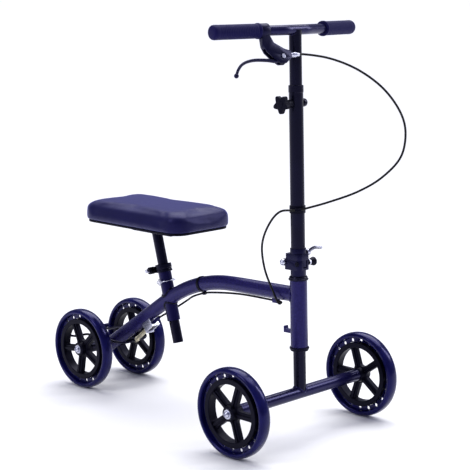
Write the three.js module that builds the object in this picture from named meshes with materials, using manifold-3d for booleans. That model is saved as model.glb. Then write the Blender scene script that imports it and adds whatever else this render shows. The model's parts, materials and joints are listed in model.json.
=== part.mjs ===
// Steerable knee scooter: a four-wheeled frame with a kneeling pad, a folding steering column,
// a height-adjustable handlebar and a hand brake that pulls a bar against the two rear tyres.
// Millimetres, +Z up, the front faces -Y and the rider's left is +X. The origin is on the floor,
// under the middle of the whole scooter.

import * as THREE from 'three';
import { mergeVertices } from 'three/addons/utils/BufferGeometryUtils.js';
import Module from 'manifold-3d';

const wasm = await Module();
wasm.setup();

// ---------------------------------------------------------------- driving dimensions

const WHEELBASE = 650; // front axle to rear axle
const FRONT_TRACK = 430; // between the middles of the front wheels
const REAR_TRACK = 177; // between the middles of the rear wheels
const WHEEL_DIAMETER = 200;
const TYRE_WIDTH = 30;
const RIM_SEGMENTS = 28;
const TYRE_DEPTH = 24;
const TREAD_DEPTH = 13; // the full-width part of the tyre; a thin web joins it to the rim
const TYRE_WEB = 4;
const TYRE_HOLES = 20;
const TYRE_HOLE_RADIUS = 4;
const RIM_DEPTH = 12;
const RIM_WIDTH = 24;
const HUB_WIDTH = 34;
const HUB_RADIUS = 17;
const BEARING_RADIUS = 11;
const BEARING_WIDTH = 7;
const SPOKES = 5;
const AXLE_RADIUS = 4;

const GAP = 0.3; // between touching pieces
const RUNNING_GAP = 0.5; // beside turning pieces

const STEERING_RAKE = 1.6; // degrees that the steering axis leans back
const CROSSBAR_RADIUS = 14;
const STEERER_RADIUS = 14;
const STEERER_WALL = 3;
const CUP_ROOM = 2.5; // between the steerer and the head tube's bore
const HEAD_TUBE_WALL = 3;
const HEAD_TUBE_START = 105.5; // heights along the steering axis are from the front axle
const HEAD_TUBE_LENGTH = 152;
const CUP_HEIGHT = 9;
const HINGE_HEIGHT = 36;
const HINGE_WALL = 2.1; // beside the column
const HINGE_PIN_BEHIND = 11.1; // hinge pin behind the column's skin
const LATCH_FORWARD = 13; // latch skewer in front of the steering axis
const COLUMN_WALL = 1.7;
const STEM_SHOWN = 119.3; // from the column's top to the handlebar
const STEM_RADIUS = 13.8;
const STEM_CLEARANCE = 0.4;
const STEM_WALL = 2;
const STEM_INSERTION = 168;
const HANDLE_HEIGHT = 807.3; // handlebar above the front axle
const HANDLE_SPAN = 448;
const HANDLE_SWEEP = 9.5; // degrees that each side sweeps back
const SWEEP_START = 34; // where each side starts to sweep
const BAR_RADIUS = 11.1;
const BAR_WALL = 2;
const GRIP_LENGTH = 123;
const GRIP_RADIUS = 16;
const HEIGHT_TRAVEL_UP = 80;
const HEIGHT_TRAVEL_DOWN = 38;

const MAIN_TUBE_RADIUS = 17.5;
const MAIN_TUBE_WALL = 2.5;
const MAIN_TUBE_HEIGHT = 323; // centre line where it meets the head tube
const MAIN_TUBE_FRONT_SLOPE = 1.5; // degrees down towards the rear
const MAIN_TUBE_REAR_SLOPE = 34.5;
const MAIN_TUBE_BEND_RADIUS = 400;
const REAR_TUBE_RADIUS = 15;

const SEAT_POST_AHEAD = 210.4; // the post's crossing of the main tube, ahead of the rear axle
const SEAT_ORIGIN_RISE = 61.1; // start of the seat's rise above the main tube's centre line
const SEAT_POST_TILT = 15.5; // degrees that the post leans back
const SEAT_POST_LENGTH = 274;
const SOCKET_INSET = 1.5; // the socket's skin inside the main tube's, where it passes through
const SOCKET_WALL = 3;
const SOCKET_LENGTH = 131;
const SOCKET_TOP = 24; // above the main tube's crossing point, along the post
const PAD_RISE = 24.4; // underside of the pad above the top of the post
const PAD_LENGTH = 350;
const PAD_WIDTH = 200;
const PAD_THICKNESS = 50;
const PAD_CORNER = 42;
const SEAT_TRAVEL_UP = 100;
const SEAT_TRAVEL_DOWN = 33;

const CABLE_RADIUS = 2.5;
const BRACKET_START = 8; // along the line of the pull
const BRACKET_END = 40;
const BRAKE_ROD_RADIUS = 3;
const SLEEVE_RADIUS = 5.5;
const SLEEVE_LENGTH = 13;
const SLEEVE_INSET = 8; // the sleeves' middles inboard of the rear tyres' middles
const BRAKE_GAP = 3.2; // rubber sleeve to tyre with the brake off
const BRAKE_SLOPE = 40; // degrees, the line of the brake's pull below the horizontal
const PULL_AHEAD = 175; // the start of the brake's pull, ahead of the rear axle
const PULL_CLEARANCE = 6.1; // the start of the brake's pull below the main tube's skin

// ---------------------------------------------------------------- values worked out from them

const WHEEL_RADIUS = WHEEL_DIAMETER / 2;
const HEAD_TUBE_RADIUS = STEERER_RADIUS + CUP_ROOM + HEAD_TUBE_WALL;
const COLUMN_RADIUS = STEM_RADIUS + STEM_CLEARANCE + COLUMN_WALL;
const HINGE_HALF_WIDTH = COLUMN_RADIUS + HINGE_WALL;
const HINGE_PIN_BACK = COLUMN_RADIUS + HINGE_PIN_BEHIND;
const SOCKET_RADIUS = MAIN_TUBE_RADIUS - SOCKET_INSET;
const SEAT_POST_RADIUS = SOCKET_RADIUS - SOCKET_WALL - GAP;
const RIM_RADIUS = WHEEL_RADIUS - TYRE_DEPTH;
const FRONT_AXLE_Y = -WHEELBASE / 2;
const REAR_AXLE_Y = WHEELBASE / 2;
const SEAT_POST_Y = REAR_AXLE_Y - SEAT_POST_AHEAD;
const PULL_Y = REAR_AXLE_Y - PULL_AHEAD;
const CROSSBAR_HALF = FRONT_TRACK / 2 - HUB_WIDTH / 2 - RUNNING_GAP;
const REAR_TUBE_HALF = REAR_TRACK / 2 - HUB_WIDTH / 2 - RUNNING_GAP;
const BRAKE_BAR_RISE = 10; // brake bar above the rear axle
const BRAKE_REACH = WHEEL_RADIUS + BRAKE_GAP + SLEEVE_RADIUS;
const BRAKE_BAR_Y = REAR_AXLE_Y + Math.sqrt(BRAKE_REACH ** 2 - BRAKE_BAR_RISE ** 2);
const HINGE_BASE = HEAD_TUBE_START + HEAD_TUBE_LENGTH + CUP_HEIGHT + RUNNING_GAP;
const HINGE_SPLIT = HINGE_BASE + HINGE_HEIGHT;
const HINGE_PIN_HEIGHT = HINGE_SPLIT - 6;
const LATCH_HEIGHT = HINGE_SPLIT - 7;
const COLUMN_START = HINGE_SPLIT + 3;
const COLUMN_TOP = HANDLE_HEIGHT - STEM_SHOWN;
const KNOB_HEIGHT = COLUMN_TOP - 39;
const CLIP_HEIGHT = COLUMN_START + 110;
const STEM_BOTTOM = COLUMN_TOP - STEM_INSERTION;
const radians = THREE.MathUtils.degToRad;

// ---------------------------------------------------------------- materials

function material(colour, roughness, metalness) {
  return new THREE.MeshStandardMaterial({ color: colour, roughness, metalness });
}

const veinPaint = () => material(0x16163f, 0.42, 0.35);
const blackPaint = () => material(0x0b0b12, 0.35, 0.2);
const navyPaint = () => material(0x14143c, 0.25, 0.25);
const brightSteel = () => material(0xc4c6cc, 0.3, 0.9);
const zinc = () => material(0xb8b29a, 0.4, 0.85);
const blackPlastic = () => material(0x0c0c10, 0.5, 0);
const blueTyre = () => material(0x1c2070, 0.35, 0);
const rubber = () => material(0x101022, 0.8, 0);
const vinyl = () => material(0x23235e, 0.45, 0);
const cableSkin = () => material(0x060608, 0.45, 0);

// ---------------------------------------------------------------- solids

// A closed geometry as a solid whose faces point out.
function solid(geometry) {
  const bare = geometry.clone();
  bare.deleteAttribute('normal');
  bare.deleteAttribute('uv');
  const merged = mergeVertices(bare, 1e-4);
  const faces = [];
  const index = merged.index.array;
  for (let i = 0; i < index.length; i += 3) {
    const [a, b, c] = [index[i], index[i + 1], index[i + 2]];
    if (a !== b && b !== c && c !== a) faces.push([a, b, c]);
  }
  const positions = Float32Array.from(merged.attributes.position.array);
  const build = (list) =>
    new wasm.Manifold(
      new wasm.Mesh({ numProp: 3, vertProperties: positions, triVerts: Uint32Array.from(list.flat()) }),
    );
  const body = build(faces);
  return body.volume() > 0 ? body : build(faces.map(([a, b, c]) => [a, c, b]));
}

function toGeometry(body) {
  const mesh = body.getMesh();
  const geometry = new THREE.BufferGeometry();
  const points = new Float32Array((mesh.vertProperties.length / mesh.numProp) * 3);
  for (let i = 0; i < points.length / 3; i++) {
    for (let k = 0; k < 3; k++) points[3 * i + k] = mesh.vertProperties[mesh.numProp * i + k];
  }
  geometry.setAttribute('position', new THREE.BufferAttribute(points, 3));
  geometry.setIndex(new THREE.BufferAttribute(Uint32Array.from(mesh.triVerts), 1));
  geometry.computeVertexNormals();
  return geometry;
}

function join(...bodies) {
  return bodies.reduce((whole, body) => whole.add(body));
}

function cut(body, ...tools) {
  return tools.reduce((left, tool) => left.subtract(tool), body);
}

// Turned about Z. The profile is a list of [radius, height] and closes on itself or on the axis.
function turned(profile, segments = 24) {
  const points = profile.map(([r, h]) => new THREE.Vector2(r, h));
  const first = points[0];
  const last = points[points.length - 1];
  if (first.x > 0 || last.x > 0) points.push(first.clone());
  const geometry = new THREE.LatheGeometry(points, segments);
  geometry.rotateX(Math.PI / 2);
  return geometry;
}

function rod(radius, from, to, segments = 20) {
  return turned([[0, from], [radius, from], [radius, to], [0, to]], segments);
}

function pipe(inner, outer, from, to, segments = 20) {
  return turned([[inner, from], [outer, from], [outer, to], [inner, to]], segments);
}

// The same shapes, lying along X.
const alongX = (geometry) => geometry.rotateY(Math.PI / 2);
const rodX = (radius, from, to, segments) => alongX(rod(radius, from, to, segments));
const pipeX = (inner, outer, from, to, segments) => alongX(pipe(inner, outer, from, to, segments));

function box(x0, x1, y0, y1, z0, z1) {
  const geometry = new THREE.BoxGeometry(x1 - x0, y1 - y0, z1 - z0);
  return geometry.translate((x0 + x1) / 2, (y0 + y1) / 2, (z0 + z1) / 2);
}

function roundedRectangle(halfX, y0, y1, corner) {
  const shape = new THREE.Shape();
  shape.moveTo(-halfX + corner, y0);
  shape.lineTo(halfX - corner, y0);
  shape.absarc(halfX - corner, y0 + corner, corner, -Math.PI / 2, 0);
  shape.lineTo(halfX, y1 - corner);
  shape.absarc(halfX - corner, y1 - corner, corner, 0, Math.PI / 2);
  shape.lineTo(-halfX + corner, y1);
  shape.absarc(-halfX + corner, y1 - corner, corner, Math.PI / 2, Math.PI);
  shape.lineTo(-halfX, y0 + corner);
  shape.absarc(-halfX + corner, y0 + corner, corner, Math.PI, 1.5 * Math.PI);
  return shape;
}

function slab(shape, z0, z1, curveSegments = 5) {
  const geometry = new THREE.ExtrudeGeometry(shape, { depth: z1 - z0, bevelEnabled: false, curveSegments });
  return geometry.translate(0, 0, z0);
}

function ring(radius, sides) {
  const shape = new THREE.Shape();
  for (let i = 0; i < sides; i++) {
    const angle = (2 * Math.PI * i) / sides;
    const place = [radius * Math.cos(angle), radius * Math.sin(angle)];
    if (i === 0) shape.moveTo(...place);
    else shape.lineTo(...place);
  }
  shape.closePath();
  return shape;
}

// A round bar, or a tube where a bore is given, along a curve.
function swept(curve, radius, sides, steps, bore = 0) {
  const shape = ring(radius, sides);
  if (bore > 0) shape.holes.push(ring(bore, sides));
  return new THREE.ExtrudeGeometry(shape, { steps, extrudePath: curve, bevelEnabled: false });
}

function smooth(points) {
  return new THREE.CatmullRomCurve3(points.map((p) => new THREE.Vector3(...p)), false, 'centripetal');
}

// ---------------------------------------------------------------- main tube's line

const tubeFrontY = FRONT_AXLE_Y + 8;
const frontSlope = radians(MAIN_TUBE_FRONT_SLOPE);
const rearSlope = radians(MAIN_TUBE_REAR_SLOPE);

// The centre line: a straight, an arc bending down, and a straight to the rear cross tube.
function mainTubeLine() {
  const along = (angle) => new THREE.Vector3(0, Math.cos(angle), -Math.sin(angle));
  const up = (angle) => new THREE.Vector3(0, Math.sin(angle), Math.cos(angle));
  const start = new THREE.Vector3(0, tubeFrontY, MAIN_TUBE_HEIGHT);
  const end = new THREE.Vector3(0, REAR_AXLE_Y, WHEEL_RADIUS - 6);
  const tangent = MAIN_TUBE_BEND_RADIUS * Math.tan((rearSlope - frontSlope) / 2);
  // where the two straights would cross
  const rise = end.clone().sub(start);
  const f = along(frontSlope);
  const r = along(rearSlope);
  const reach = (rise.y * r.z - rise.z * r.y) / (f.y * r.z - f.z * r.y);
  const corner = start.clone().addScaledVector(f, reach);
  const bendStart = corner.clone().addScaledVector(f, -tangent);
  const centre = bendStart.clone().addScaledVector(up(frontSlope), -MAIN_TUBE_BEND_RADIUS);
  const points = [start, start.clone().lerp(bendStart, 0.5)];
  const bendSteps = 6;
  for (let i = 0; i <= bendSteps; i++) {
    const angle = frontSlope + ((rearSlope - frontSlope) * i) / bendSteps;
    points.push(centre.clone().addScaledVector(up(angle), MAIN_TUBE_BEND_RADIUS));
  }
  points.push(points[points.length - 1].clone().lerp(end, 0.5), end);
  return new THREE.CatmullRomCurve3(points, false, 'centripetal');
}

const tubeLine = mainTubeLine();

// The point on the tube's centre line at a distance y, and a frame that lies along the tube there.
function onTube(y) {
  let low = 0;
  let high = 1;
  for (let i = 0; i < 30; i++) {
    const middle = (low + high) / 2;
    if (tubeLine.getPoint(middle).y < y) low = middle;
    else high = middle;
  }
  const place = tubeLine.getPoint(low);
  const along = tubeLine.getTangent(low);
  return { place, angle: Math.atan2(along.z, along.y) };
}

// ---------------------------------------------------------------- groups

const scooter = new THREE.Group();

const steering = new THREE.Group(); // local Z is the steering axis, from the front axle up
steering.position.set(0, FRONT_AXLE_Y, WHEEL_RADIUS);
steering.rotation.x = -radians(STEERING_RAKE);
steering.updateMatrix();
scooter.add(steering);

const seat = new THREE.Group(); // local Z is the seat post's axis
seat.position.set(0, SEAT_POST_Y, onTube(SEAT_POST_Y).place.z + SEAT_ORIGIN_RISE);
seat.rotation.x = -radians(SEAT_POST_TILT);
seat.updateMatrix();
scooter.add(seat);

const pullDrop = (MAIN_TUBE_RADIUS + PULL_CLEARANCE) / Math.cos(radians(MAIN_TUBE_REAR_SLOPE));
const pull = new THREE.Group(); // local Y is the line of the brake's pull, down to the rear
pull.position.set(0, PULL_Y, onTube(PULL_Y).place.z - pullDrop);
pull.rotation.x = -radians(BRAKE_SLOPE);
pull.updateMatrix();
scooter.add(pull);

function piece(name, body, finish, parent = scooter) {
  const mesh = new THREE.Mesh(body instanceof THREE.BufferGeometry ? body : toGeometry(body), finish());
  mesh.name = name;
  parent.add(mesh);
  return mesh;
}

const inScooter = (geometry, group) => geometry.clone().applyMatrix4(group.matrix);
const fromScooter = (geometry, group) => geometry.clone().applyMatrix4(group.matrix.clone().invert());

// ---------------------------------------------------------------- wheels

function spoke(angle) {
  const shape = new THREE.Shape();
  const root = HUB_RADIUS - 3;
  const tip = RIM_RADIUS - RIM_DEPTH + 3;
  shape.moveTo(-8, root);
  shape.lineTo(8, root);
  shape.lineTo(5.5, tip);
  shape.lineTo(-5.5, tip);
  shape.closePath();
  const geometry = slab(shape, -7, 7, 1);
  // the outline's second axis becomes the wheel's radius, and its thickness lies along the axle
  return geometry.rotateY(Math.PI / 2).rotateX(Math.PI / 2).rotateX(angle);
}

function wheelCore(phase) {
  const inner = RIM_RADIUS - RIM_DEPTH;
  const half = RIM_WIDTH / 2;
  const rim = pipeX(inner, RIM_RADIUS, -half, half, RIM_SEGMENTS);
  const hub = pipeX(BEARING_RADIUS, HUB_RADIUS, -HUB_WIDTH / 2, HUB_WIDTH / 2, 16);
  const arms = [];
  for (let i = 0; i < SPOKES; i++) arms.push(solid(spoke(phase + (2 * Math.PI * i) / SPOKES)));
  const bore = solid(rodX(BEARING_RADIUS, -HUB_WIDTH, HUB_WIDTH, 16));
  return cut(join(solid(rim), solid(hub), ...arms), bore);
}

// A thick tread on a thin web, which is bored with a ring of round holes.
function tyre() {
  const r = WHEEL_RADIUS;
  const half = TYRE_WIDTH / 2;
  const web = TYRE_WEB / 2;
  const seatRadius = RIM_RADIUS + GAP;
  const treadRadius = r - TREAD_DEPTH;
  const side = [
    [seatRadius, -web],
    [treadRadius, -web],
    [treadRadius + 1, 2 - half],
    [treadRadius + 3, -half],
    [r - 5, -half],
    [r, 9 - half],
  ];
  const mirror = side.map(([radius, x]) => [radius, -x]).reverse();
  const holeAt = (seatRadius + treadRadius) / 2;
  const holes = Array.from({ length: TYRE_HOLES }, (_, i) => {
    const hole = rodX(TYRE_HOLE_RADIUS, -TYRE_WEB, TYRE_WEB, 8).translate(0, 0, holeAt);
    return solid(hole.rotateX((2 * Math.PI * i) / TYRE_HOLES));
  });
  return cut(solid(alongX(turned([...side, ...mirror], RIM_SEGMENTS))), ...holes);
}

// The two ball bearings of a hub, with the spacer that keeps them apart.
function bearings() {
  const bore = AXLE_RADIUS + GAP;
  const outer = BEARING_RADIUS - GAP;
  const end = HUB_WIDTH / 2 - 1;
  const shoulder = end - BEARING_WIDTH;
  const spacer = AXLE_RADIUS + 2;
  const half = [
    [bore, end],
    [outer, end],
    [outer, shoulder],
    [spacer, shoulder],
  ];
  const mirror = half.map(([r, x]) => [r, -x]).reverse();
  return alongX(turned([...half, ...mirror], 16));
}

const BOLT_GRIP = 25; // how far an axle bolt reaches into its tube

function axleBolt() {
  const inner = -(HUB_WIDTH / 2 + RUNNING_GAP + BOLT_GRIP);
  const face = HUB_WIDTH / 2 + RUNNING_GAP;
  const profile = [
    [0, inner],
    [AXLE_RADIUS, inner],
    [AXLE_RADIUS, face],
    [10.5, face],
    [10.5, face + 2.5],
    [7, face + 5.5],
    [3, face + 8],
    [0, face + 8],
  ];
  return alongX(turned(profile, 12));
}

function wheel(name, side, track, axleY, phase, parent) {
  const place = new THREE.Group();
  place.position.set((side * track) / 2, axleY, parent === steering ? 0 : WHEEL_RADIUS);
  if (side < 0) place.rotation.z = Math.PI;
  parent.add(place);
  piece(`${name}_wheel_core`, wheelCore(radians(side * phase)), blackPlastic, place);
  piece(`${name}_wheel_tyre`, tyre(), blueTyre, place);
  piece(`${name}_wheel_bearings`, solid(bearings()), brightSteel, place);
  piece(`${name}_axle_bolt`, solid(axleBolt()), brightSteel, place);
}

wheel('front_left', 1, FRONT_TRACK, 0, 0, steering);
wheel('front_right', -1, FRONT_TRACK, 0, 180, steering);
wheel('rear_left', 1, REAR_TRACK, REAR_AXLE_Y, 180, scooter);
wheel('rear_right', -1, REAR_TRACK, REAR_AXLE_Y, 8, scooter);

// ---------------------------------------------------------------- steering fork and head

// A cross tube with plugged ends, bored for the axle bolts.
function crossTube(radius, half) {
  const bore = AXLE_RADIUS + GAP;
  const plug = half - BOLT_GRIP - 3;
  const profile = [
    [bore, -half],
    [radius, -half],
    [radius, half],
    [bore, half],
    [bore, plug],
    [radius - 2.5, plug - 4],
    [radius - 2.5, 4 - plug],
    [bore, -plug],
  ];
  return alongX(turned(profile, 24));
}

piece('front_crossbar', solid(crossTube(CROSSBAR_RADIUS, CROSSBAR_HALF)), navyPaint, steering);

const steererBore = STEERER_RADIUS - STEERER_WALL;
const steererTop = HINGE_BASE + 12;
const steerer = cut(
  solid(pipe(steererBore, STEERER_RADIUS, 0, steererTop, 24)),
  solid(rodX(CROSSBAR_RADIUS + GAP, -40, 40, 24)),
);
piece('steerer_tube', steerer, blackPaint, steering);

const headTop = HEAD_TUBE_START + HEAD_TUBE_LENGTH;
const headBore = HEAD_TUBE_RADIUS - HEAD_TUBE_WALL;
const HOOK_HEIGHT = HEAD_TUBE_START + 28;
const HOOK_REACH = 42;
const HOOK_HALF = 6;
const HOOK_ARM = 8;
const HOOK_TIP = 15;
const headTube = cut(
  join(
    solid(pipe(headBore, HEAD_TUBE_RADIUS, HEAD_TUBE_START, headTop, 24)),
    solid(box(-HOOK_HALF, HOOK_HALF, HEAD_TUBE_RADIUS - 3, HOOK_REACH, HOOK_HEIGHT, HOOK_HEIGHT + HOOK_ARM)),
    solid(box(-HOOK_HALF, HOOK_HALF, HOOK_REACH - 4, HOOK_REACH, HOOK_HEIGHT, HOOK_HEIGHT + HOOK_TIP)),
  ),
  solid(rod(headBore, HEAD_TUBE_START - 1, headTop + 1, 24)),
);
piece('head_tube', headTube, veinPaint, steering);

// A bearing cup: a flanged ring on the end of the head tube, with a skirt inside it.
function cup(face, direction) {
  const inner = STEERER_RADIUS + GAP + 0.1;
  const skirt = headBore - GAP;
  const at = (distance) => face + direction * distance;
  return turned([
    [inner, at(-6)],
    [skirt, at(-6)],
    [skirt, at(GAP)],
    [HEAD_TUBE_RADIUS + 2.5, at(GAP)],
    [HEAD_TUBE_RADIUS + 2.5, at(CUP_HEIGHT * 0.45)],
    [HEAD_TUBE_RADIUS - 1, at(CUP_HEIGHT)],
    [inner, at(CUP_HEIGHT)],
  ], 20);
}

piece('headset_lower_cup', solid(cup(HEAD_TUBE_START, -1)), blackPaint, steering);
piece('headset_upper_cup', solid(cup(headTop, 1)), blackPaint, steering);

// ---------------------------------------------------------------- fold hinge

const KNUCKLE_RADIUS = 8;
const KNUCKLE_HALF = 10;
const TONGUE_HALF = 6;
const HINGE_PIN_RADIUS = 4;
const LATCH_RADIUS = 3;
const LATCH_LEVER_HEIGHT = HINGE_SPLIT + 15;
const LATCH_LEVER_FORWARD = 8;

const aboutPin = (geometry) => geometry.translate(0, HINGE_PIN_BACK, HINGE_PIN_HEIGHT);
const aboutLatch = (geometry) => geometry.translate(0, -LATCH_FORWARD, LATCH_HEIGHT);

const hingeFront = -HINGE_HALF_WIDTH - 2;
const flangeBase = HINGE_BASE + 14;
const hingeNeck = pipe(STEERER_RADIUS + GAP, HEAD_TUBE_RADIUS - 2, HINGE_BASE, flangeBase + 1, 24);
const lowerFlange = slab(
  roundedRectangle(HINGE_HALF_WIDTH, hingeFront, HINGE_PIN_BACK + 2, 9),
  flangeBase,
  HINGE_SPLIT - GAP / 2,
);
const hingeLower = cut(
  join(
    solid(hingeNeck),
    solid(lowerFlange),
    solid(aboutPin(rodX(KNUCKLE_RADIUS, -HINGE_HALF_WIDTH, HINGE_HALF_WIDTH, 16))),
  ),
  solid(rod(STEERER_RADIUS + GAP, HINGE_BASE - 1, steererTop + GAP, 24)),
  solid(aboutPin(rodX(KNUCKLE_RADIUS + RUNNING_GAP, -KNUCKLE_HALF, KNUCKLE_HALF, 16))),
  solid(box(-KNUCKLE_HALF, KNUCKLE_HALF, 11, 60, HINGE_PIN_HEIGHT - RUNNING_GAP, HINGE_SPLIT + 9)),
  solid(box(-TONGUE_HALF, TONGUE_HALF, hingeFront - 1, -5, HINGE_SPLIT - 17, HINGE_SPLIT + 1)),
  solid(aboutPin(rodX(HINGE_PIN_RADIUS + GAP, -40, 40, 16))),
  solid(aboutLatch(rodX(LATCH_RADIUS + GAP, -40, 40, 12))),
);
piece('hinge_lower', hingeLower, blackPaint, steering);

const upperTop = HINGE_SPLIT + 14;
const upperFlange = slab(
  roundedRectangle(HINGE_HALF_WIDTH, hingeFront, HINGE_PIN_BACK - 1, 9),
  HINGE_SPLIT + GAP / 2,
  upperTop,
);
const upperNeck = turned([
  [0, upperTop - 1],
  [HINGE_HALF_WIDTH, upperTop - 1],
  [HINGE_HALF_WIDTH, upperTop + 2],
  [COLUMN_RADIUS + 2, upperTop + 12],
  [0, upperTop + 12],
]);
const sideClearance = (from, to) =>
  solid(aboutPin(rodX(KNUCKLE_RADIUS + RUNNING_GAP, from, to, 20)));
const upperBody = cut(
  join(solid(upperFlange), solid(upperNeck)),
  sideClearance(-40, -KNUCKLE_HALF + RUNNING_GAP),
  sideClearance(KNUCKLE_HALF - RUNNING_GAP, 40),
  solid(box(-40, 40, HINGE_PIN_BACK - 2, 60, HINGE_SPLIT - 9, HINGE_SPLIT + 30)),
);
const knuckleWidth = KNUCKLE_HALF - RUNNING_GAP;
const hingeUpper = cut(
  join(
    upperBody,
    solid(aboutPin(rodX(KNUCKLE_RADIUS, -knuckleWidth, knuckleWidth, 20))),
    solid(box(-knuckleWidth, knuckleWidth, 12, HINGE_PIN_BACK, HINGE_PIN_HEIGHT, HINGE_SPLIT + 3)),
    solid(box(GAP - TONGUE_HALF, TONGUE_HALF - GAP, hingeFront + 1, -6, HINGE_SPLIT - 15, HINGE_SPLIT + 2)),
  ),
  solid(rod(COLUMN_RADIUS + GAP, COLUMN_START - GAP, upperTop + 40, 24)),
  solid(aboutPin(rodX(HINGE_PIN_RADIUS + GAP, -40, 40, 16))),
  solid(aboutLatch(rodX(LATCH_RADIUS + GAP, -40, 40, 12))),
  solid(
    box(
      -TONGUE_HALF - 1,
      TONGUE_HALF + 1,
      -LATCH_FORWARD - LATCH_RADIUS - 1.3,
      -LATCH_FORWARD + LATCH_RADIUS + 1.3,
      HINGE_SPLIT - 18,
      LATCH_HEIGHT,
    ),
  ),
);
piece('hinge_upper', hingeUpper, blackPaint, steering);

const pinFace = HINGE_HALF_WIDTH + GAP;
const hingePin = turned([
  [0, -pinFace - 9],
  [5, -pinFace - 7.5],
  [7.5, -pinFace - 3.5],
  [7.5, -pinFace],
  [HINGE_PIN_RADIUS, -pinFace],
  [HINGE_PIN_RADIUS, pinFace],
  [6.5, pinFace],
  [6.5, pinFace + 4],
  [0, pinFace + 4],
], 16);
piece('hinge_pin', solid(aboutPin(alongX(hingePin))), brightSteel, steering);

const latchSkewer = turned([
  [0, -pinFace - 3.5],
  [5, -pinFace - 3],
  [5, -pinFace],
  [LATCH_RADIUS, -pinFace],
  [LATCH_RADIUS, pinFace],
  [5.5, pinFace],
  [5.5, pinFace + 5],
  [6.5, pinFace + 5.5],
  [10, pinFace + 18],
  [8, pinFace + 20],
  [0, pinFace + 20],
], 16);
piece('latch_skewer', solid(aboutLatch(alongX(latchSkewer))), blackPlastic, steering);

// The latch lever turns on a stud at the casting's left side.
function latchLever() {
  const inside = HINGE_HALF_WIDTH + RUNNING_GAP;
  const eye = rodX(7, inside, inside + 9, 20).translate(0, -LATCH_LEVER_FORWARD, LATCH_LEVER_HEIGHT);
  const arm = smooth([
    [inside + 5, -LATCH_LEVER_FORWARD, LATCH_LEVER_HEIGHT],
    [inside + 8, -LATCH_LEVER_FORWARD - 16, LATCH_LEVER_HEIGHT + 11],
    [inside + 11, -LATCH_LEVER_FORWARD - 36, LATCH_LEVER_HEIGHT + 13],
  ]);
  return join(solid(eye), solid(swept(arm, 4, 10, 8)));
}

piece('latch_lever', latchLever(), brightSteel, steering);

// ---------------------------------------------------------------- column, stem and handlebar

const heightHole = solid(rodX(AXLE_RADIUS + GAP, -40, 40, 16).translate(0, 0, KNOB_HEIGHT));
const column = cut(
  solid(pipe(COLUMN_RADIUS - COLUMN_WALL, COLUMN_RADIUS, COLUMN_START, COLUMN_TOP, 24)),
  heightHole,
);
piece('column_tube', column, blackPaint, steering);

const slotHalf = AXLE_RADIUS + GAP;
const heightSlot = solid(
  box(-40, 40, -slotHalf, slotHalf, KNOB_HEIGHT - HEIGHT_TRAVEL_UP - 6, KNOB_HEIGHT + HEIGHT_TRAVEL_DOWN + 6),
);
const stem = cut(
  solid(pipe(STEM_RADIUS - STEM_WALL, STEM_RADIUS, STEM_BOTTOM, HANDLE_HEIGHT, 24)),
  heightSlot,
  solid(rodX(BAR_RADIUS + GAP, -40, 40, 24).translate(0, 0, HANDLE_HEIGHT)),
);
piece('stem_tube', stem, blackPaint, steering);

const barHalf = HANDLE_SPAN / 2 - 4;
const sweepRise = Math.tan(radians(HANDLE_SWEEP));
const barBack = (distance) => Math.max(0, distance - SWEEP_START) * sweepRise;
const barStations = [barHalf, barHalf * 0.7, 90, 60, SWEEP_START, 16];
const barPoints = [
  ...barStations.map((d) => [-d, barBack(d), HANDLE_HEIGHT]),
  ...[...barStations].reverse().map((d) => [d, barBack(d), HANDLE_HEIGHT]),
];
piece(
  'handlebar',
  solid(swept(smooth(barPoints), BAR_RADIUS, 16, 12, BAR_RADIUS - BAR_WALL)),
  navyPaint,
  steering,
);

// A frame on one side of the handlebar: local X runs outward along the swept bar.
function barSide(side) {
  const place = new THREE.Group();
  place.position.set(side * SWEEP_START, 0, HANDLE_HEIGHT);
  const sweep = radians(HANDLE_SWEEP);
  place.rotation.z = side > 0 ? sweep : Math.PI - sweep;
  place.updateMatrix();
  steering.add(place);
  return place;
}

const leftSide = barSide(1);
const rightSide = barSide(-1);
const alongBar = (distance) => (distance - SWEEP_START) / Math.cos(radians(HANDLE_SWEEP));

function grip() {
  const end = alongBar(HANDLE_SPAN / 2);
  const start = end - GRIP_LENGTH;
  const bore = BAR_RADIUS + GAP;
  const profile = [
    [bore, start],
    [GRIP_RADIUS + 1, start],
    [GRIP_RADIUS + 1, start + 5],
    [GRIP_RADIUS - 0.8, start + 7],
    [GRIP_RADIUS, end - 8],
    [GRIP_RADIUS - 4, end],
    [0, end],
    [0, end - 3],
    [bore, end - 3],
  ];
  return alongX(turned(profile, 24));
}

piece('grip_left', solid(grip()), rubber, leftSide);
piece('grip_right', solid(grip()), rubber, rightSide);

// ---------------------------------------------------------------- brake lever, in its own tilted plane

const LEVER_TILT = 24; // degrees that the lever's plane leans forward of straight down
const CLAMP_AT = alongBar(92);
const PIVOT = [alongBar(62), 62];
const BRACKET_HALF = 7;

const lever = new THREE.Group(); // local X runs outward along the bar, local Y down and forward
lever.rotation.x = radians(LEVER_TILT + 270);
lever.updateMatrix();
rightSide.add(lever);

function outline(points) {
  const shape = new THREE.Shape();
  points.forEach(([x, y], i) => (i === 0 ? shape.moveTo(x, y) : shape.lineTo(x, y)));
  shape.closePath();
  return shape;
}

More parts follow.
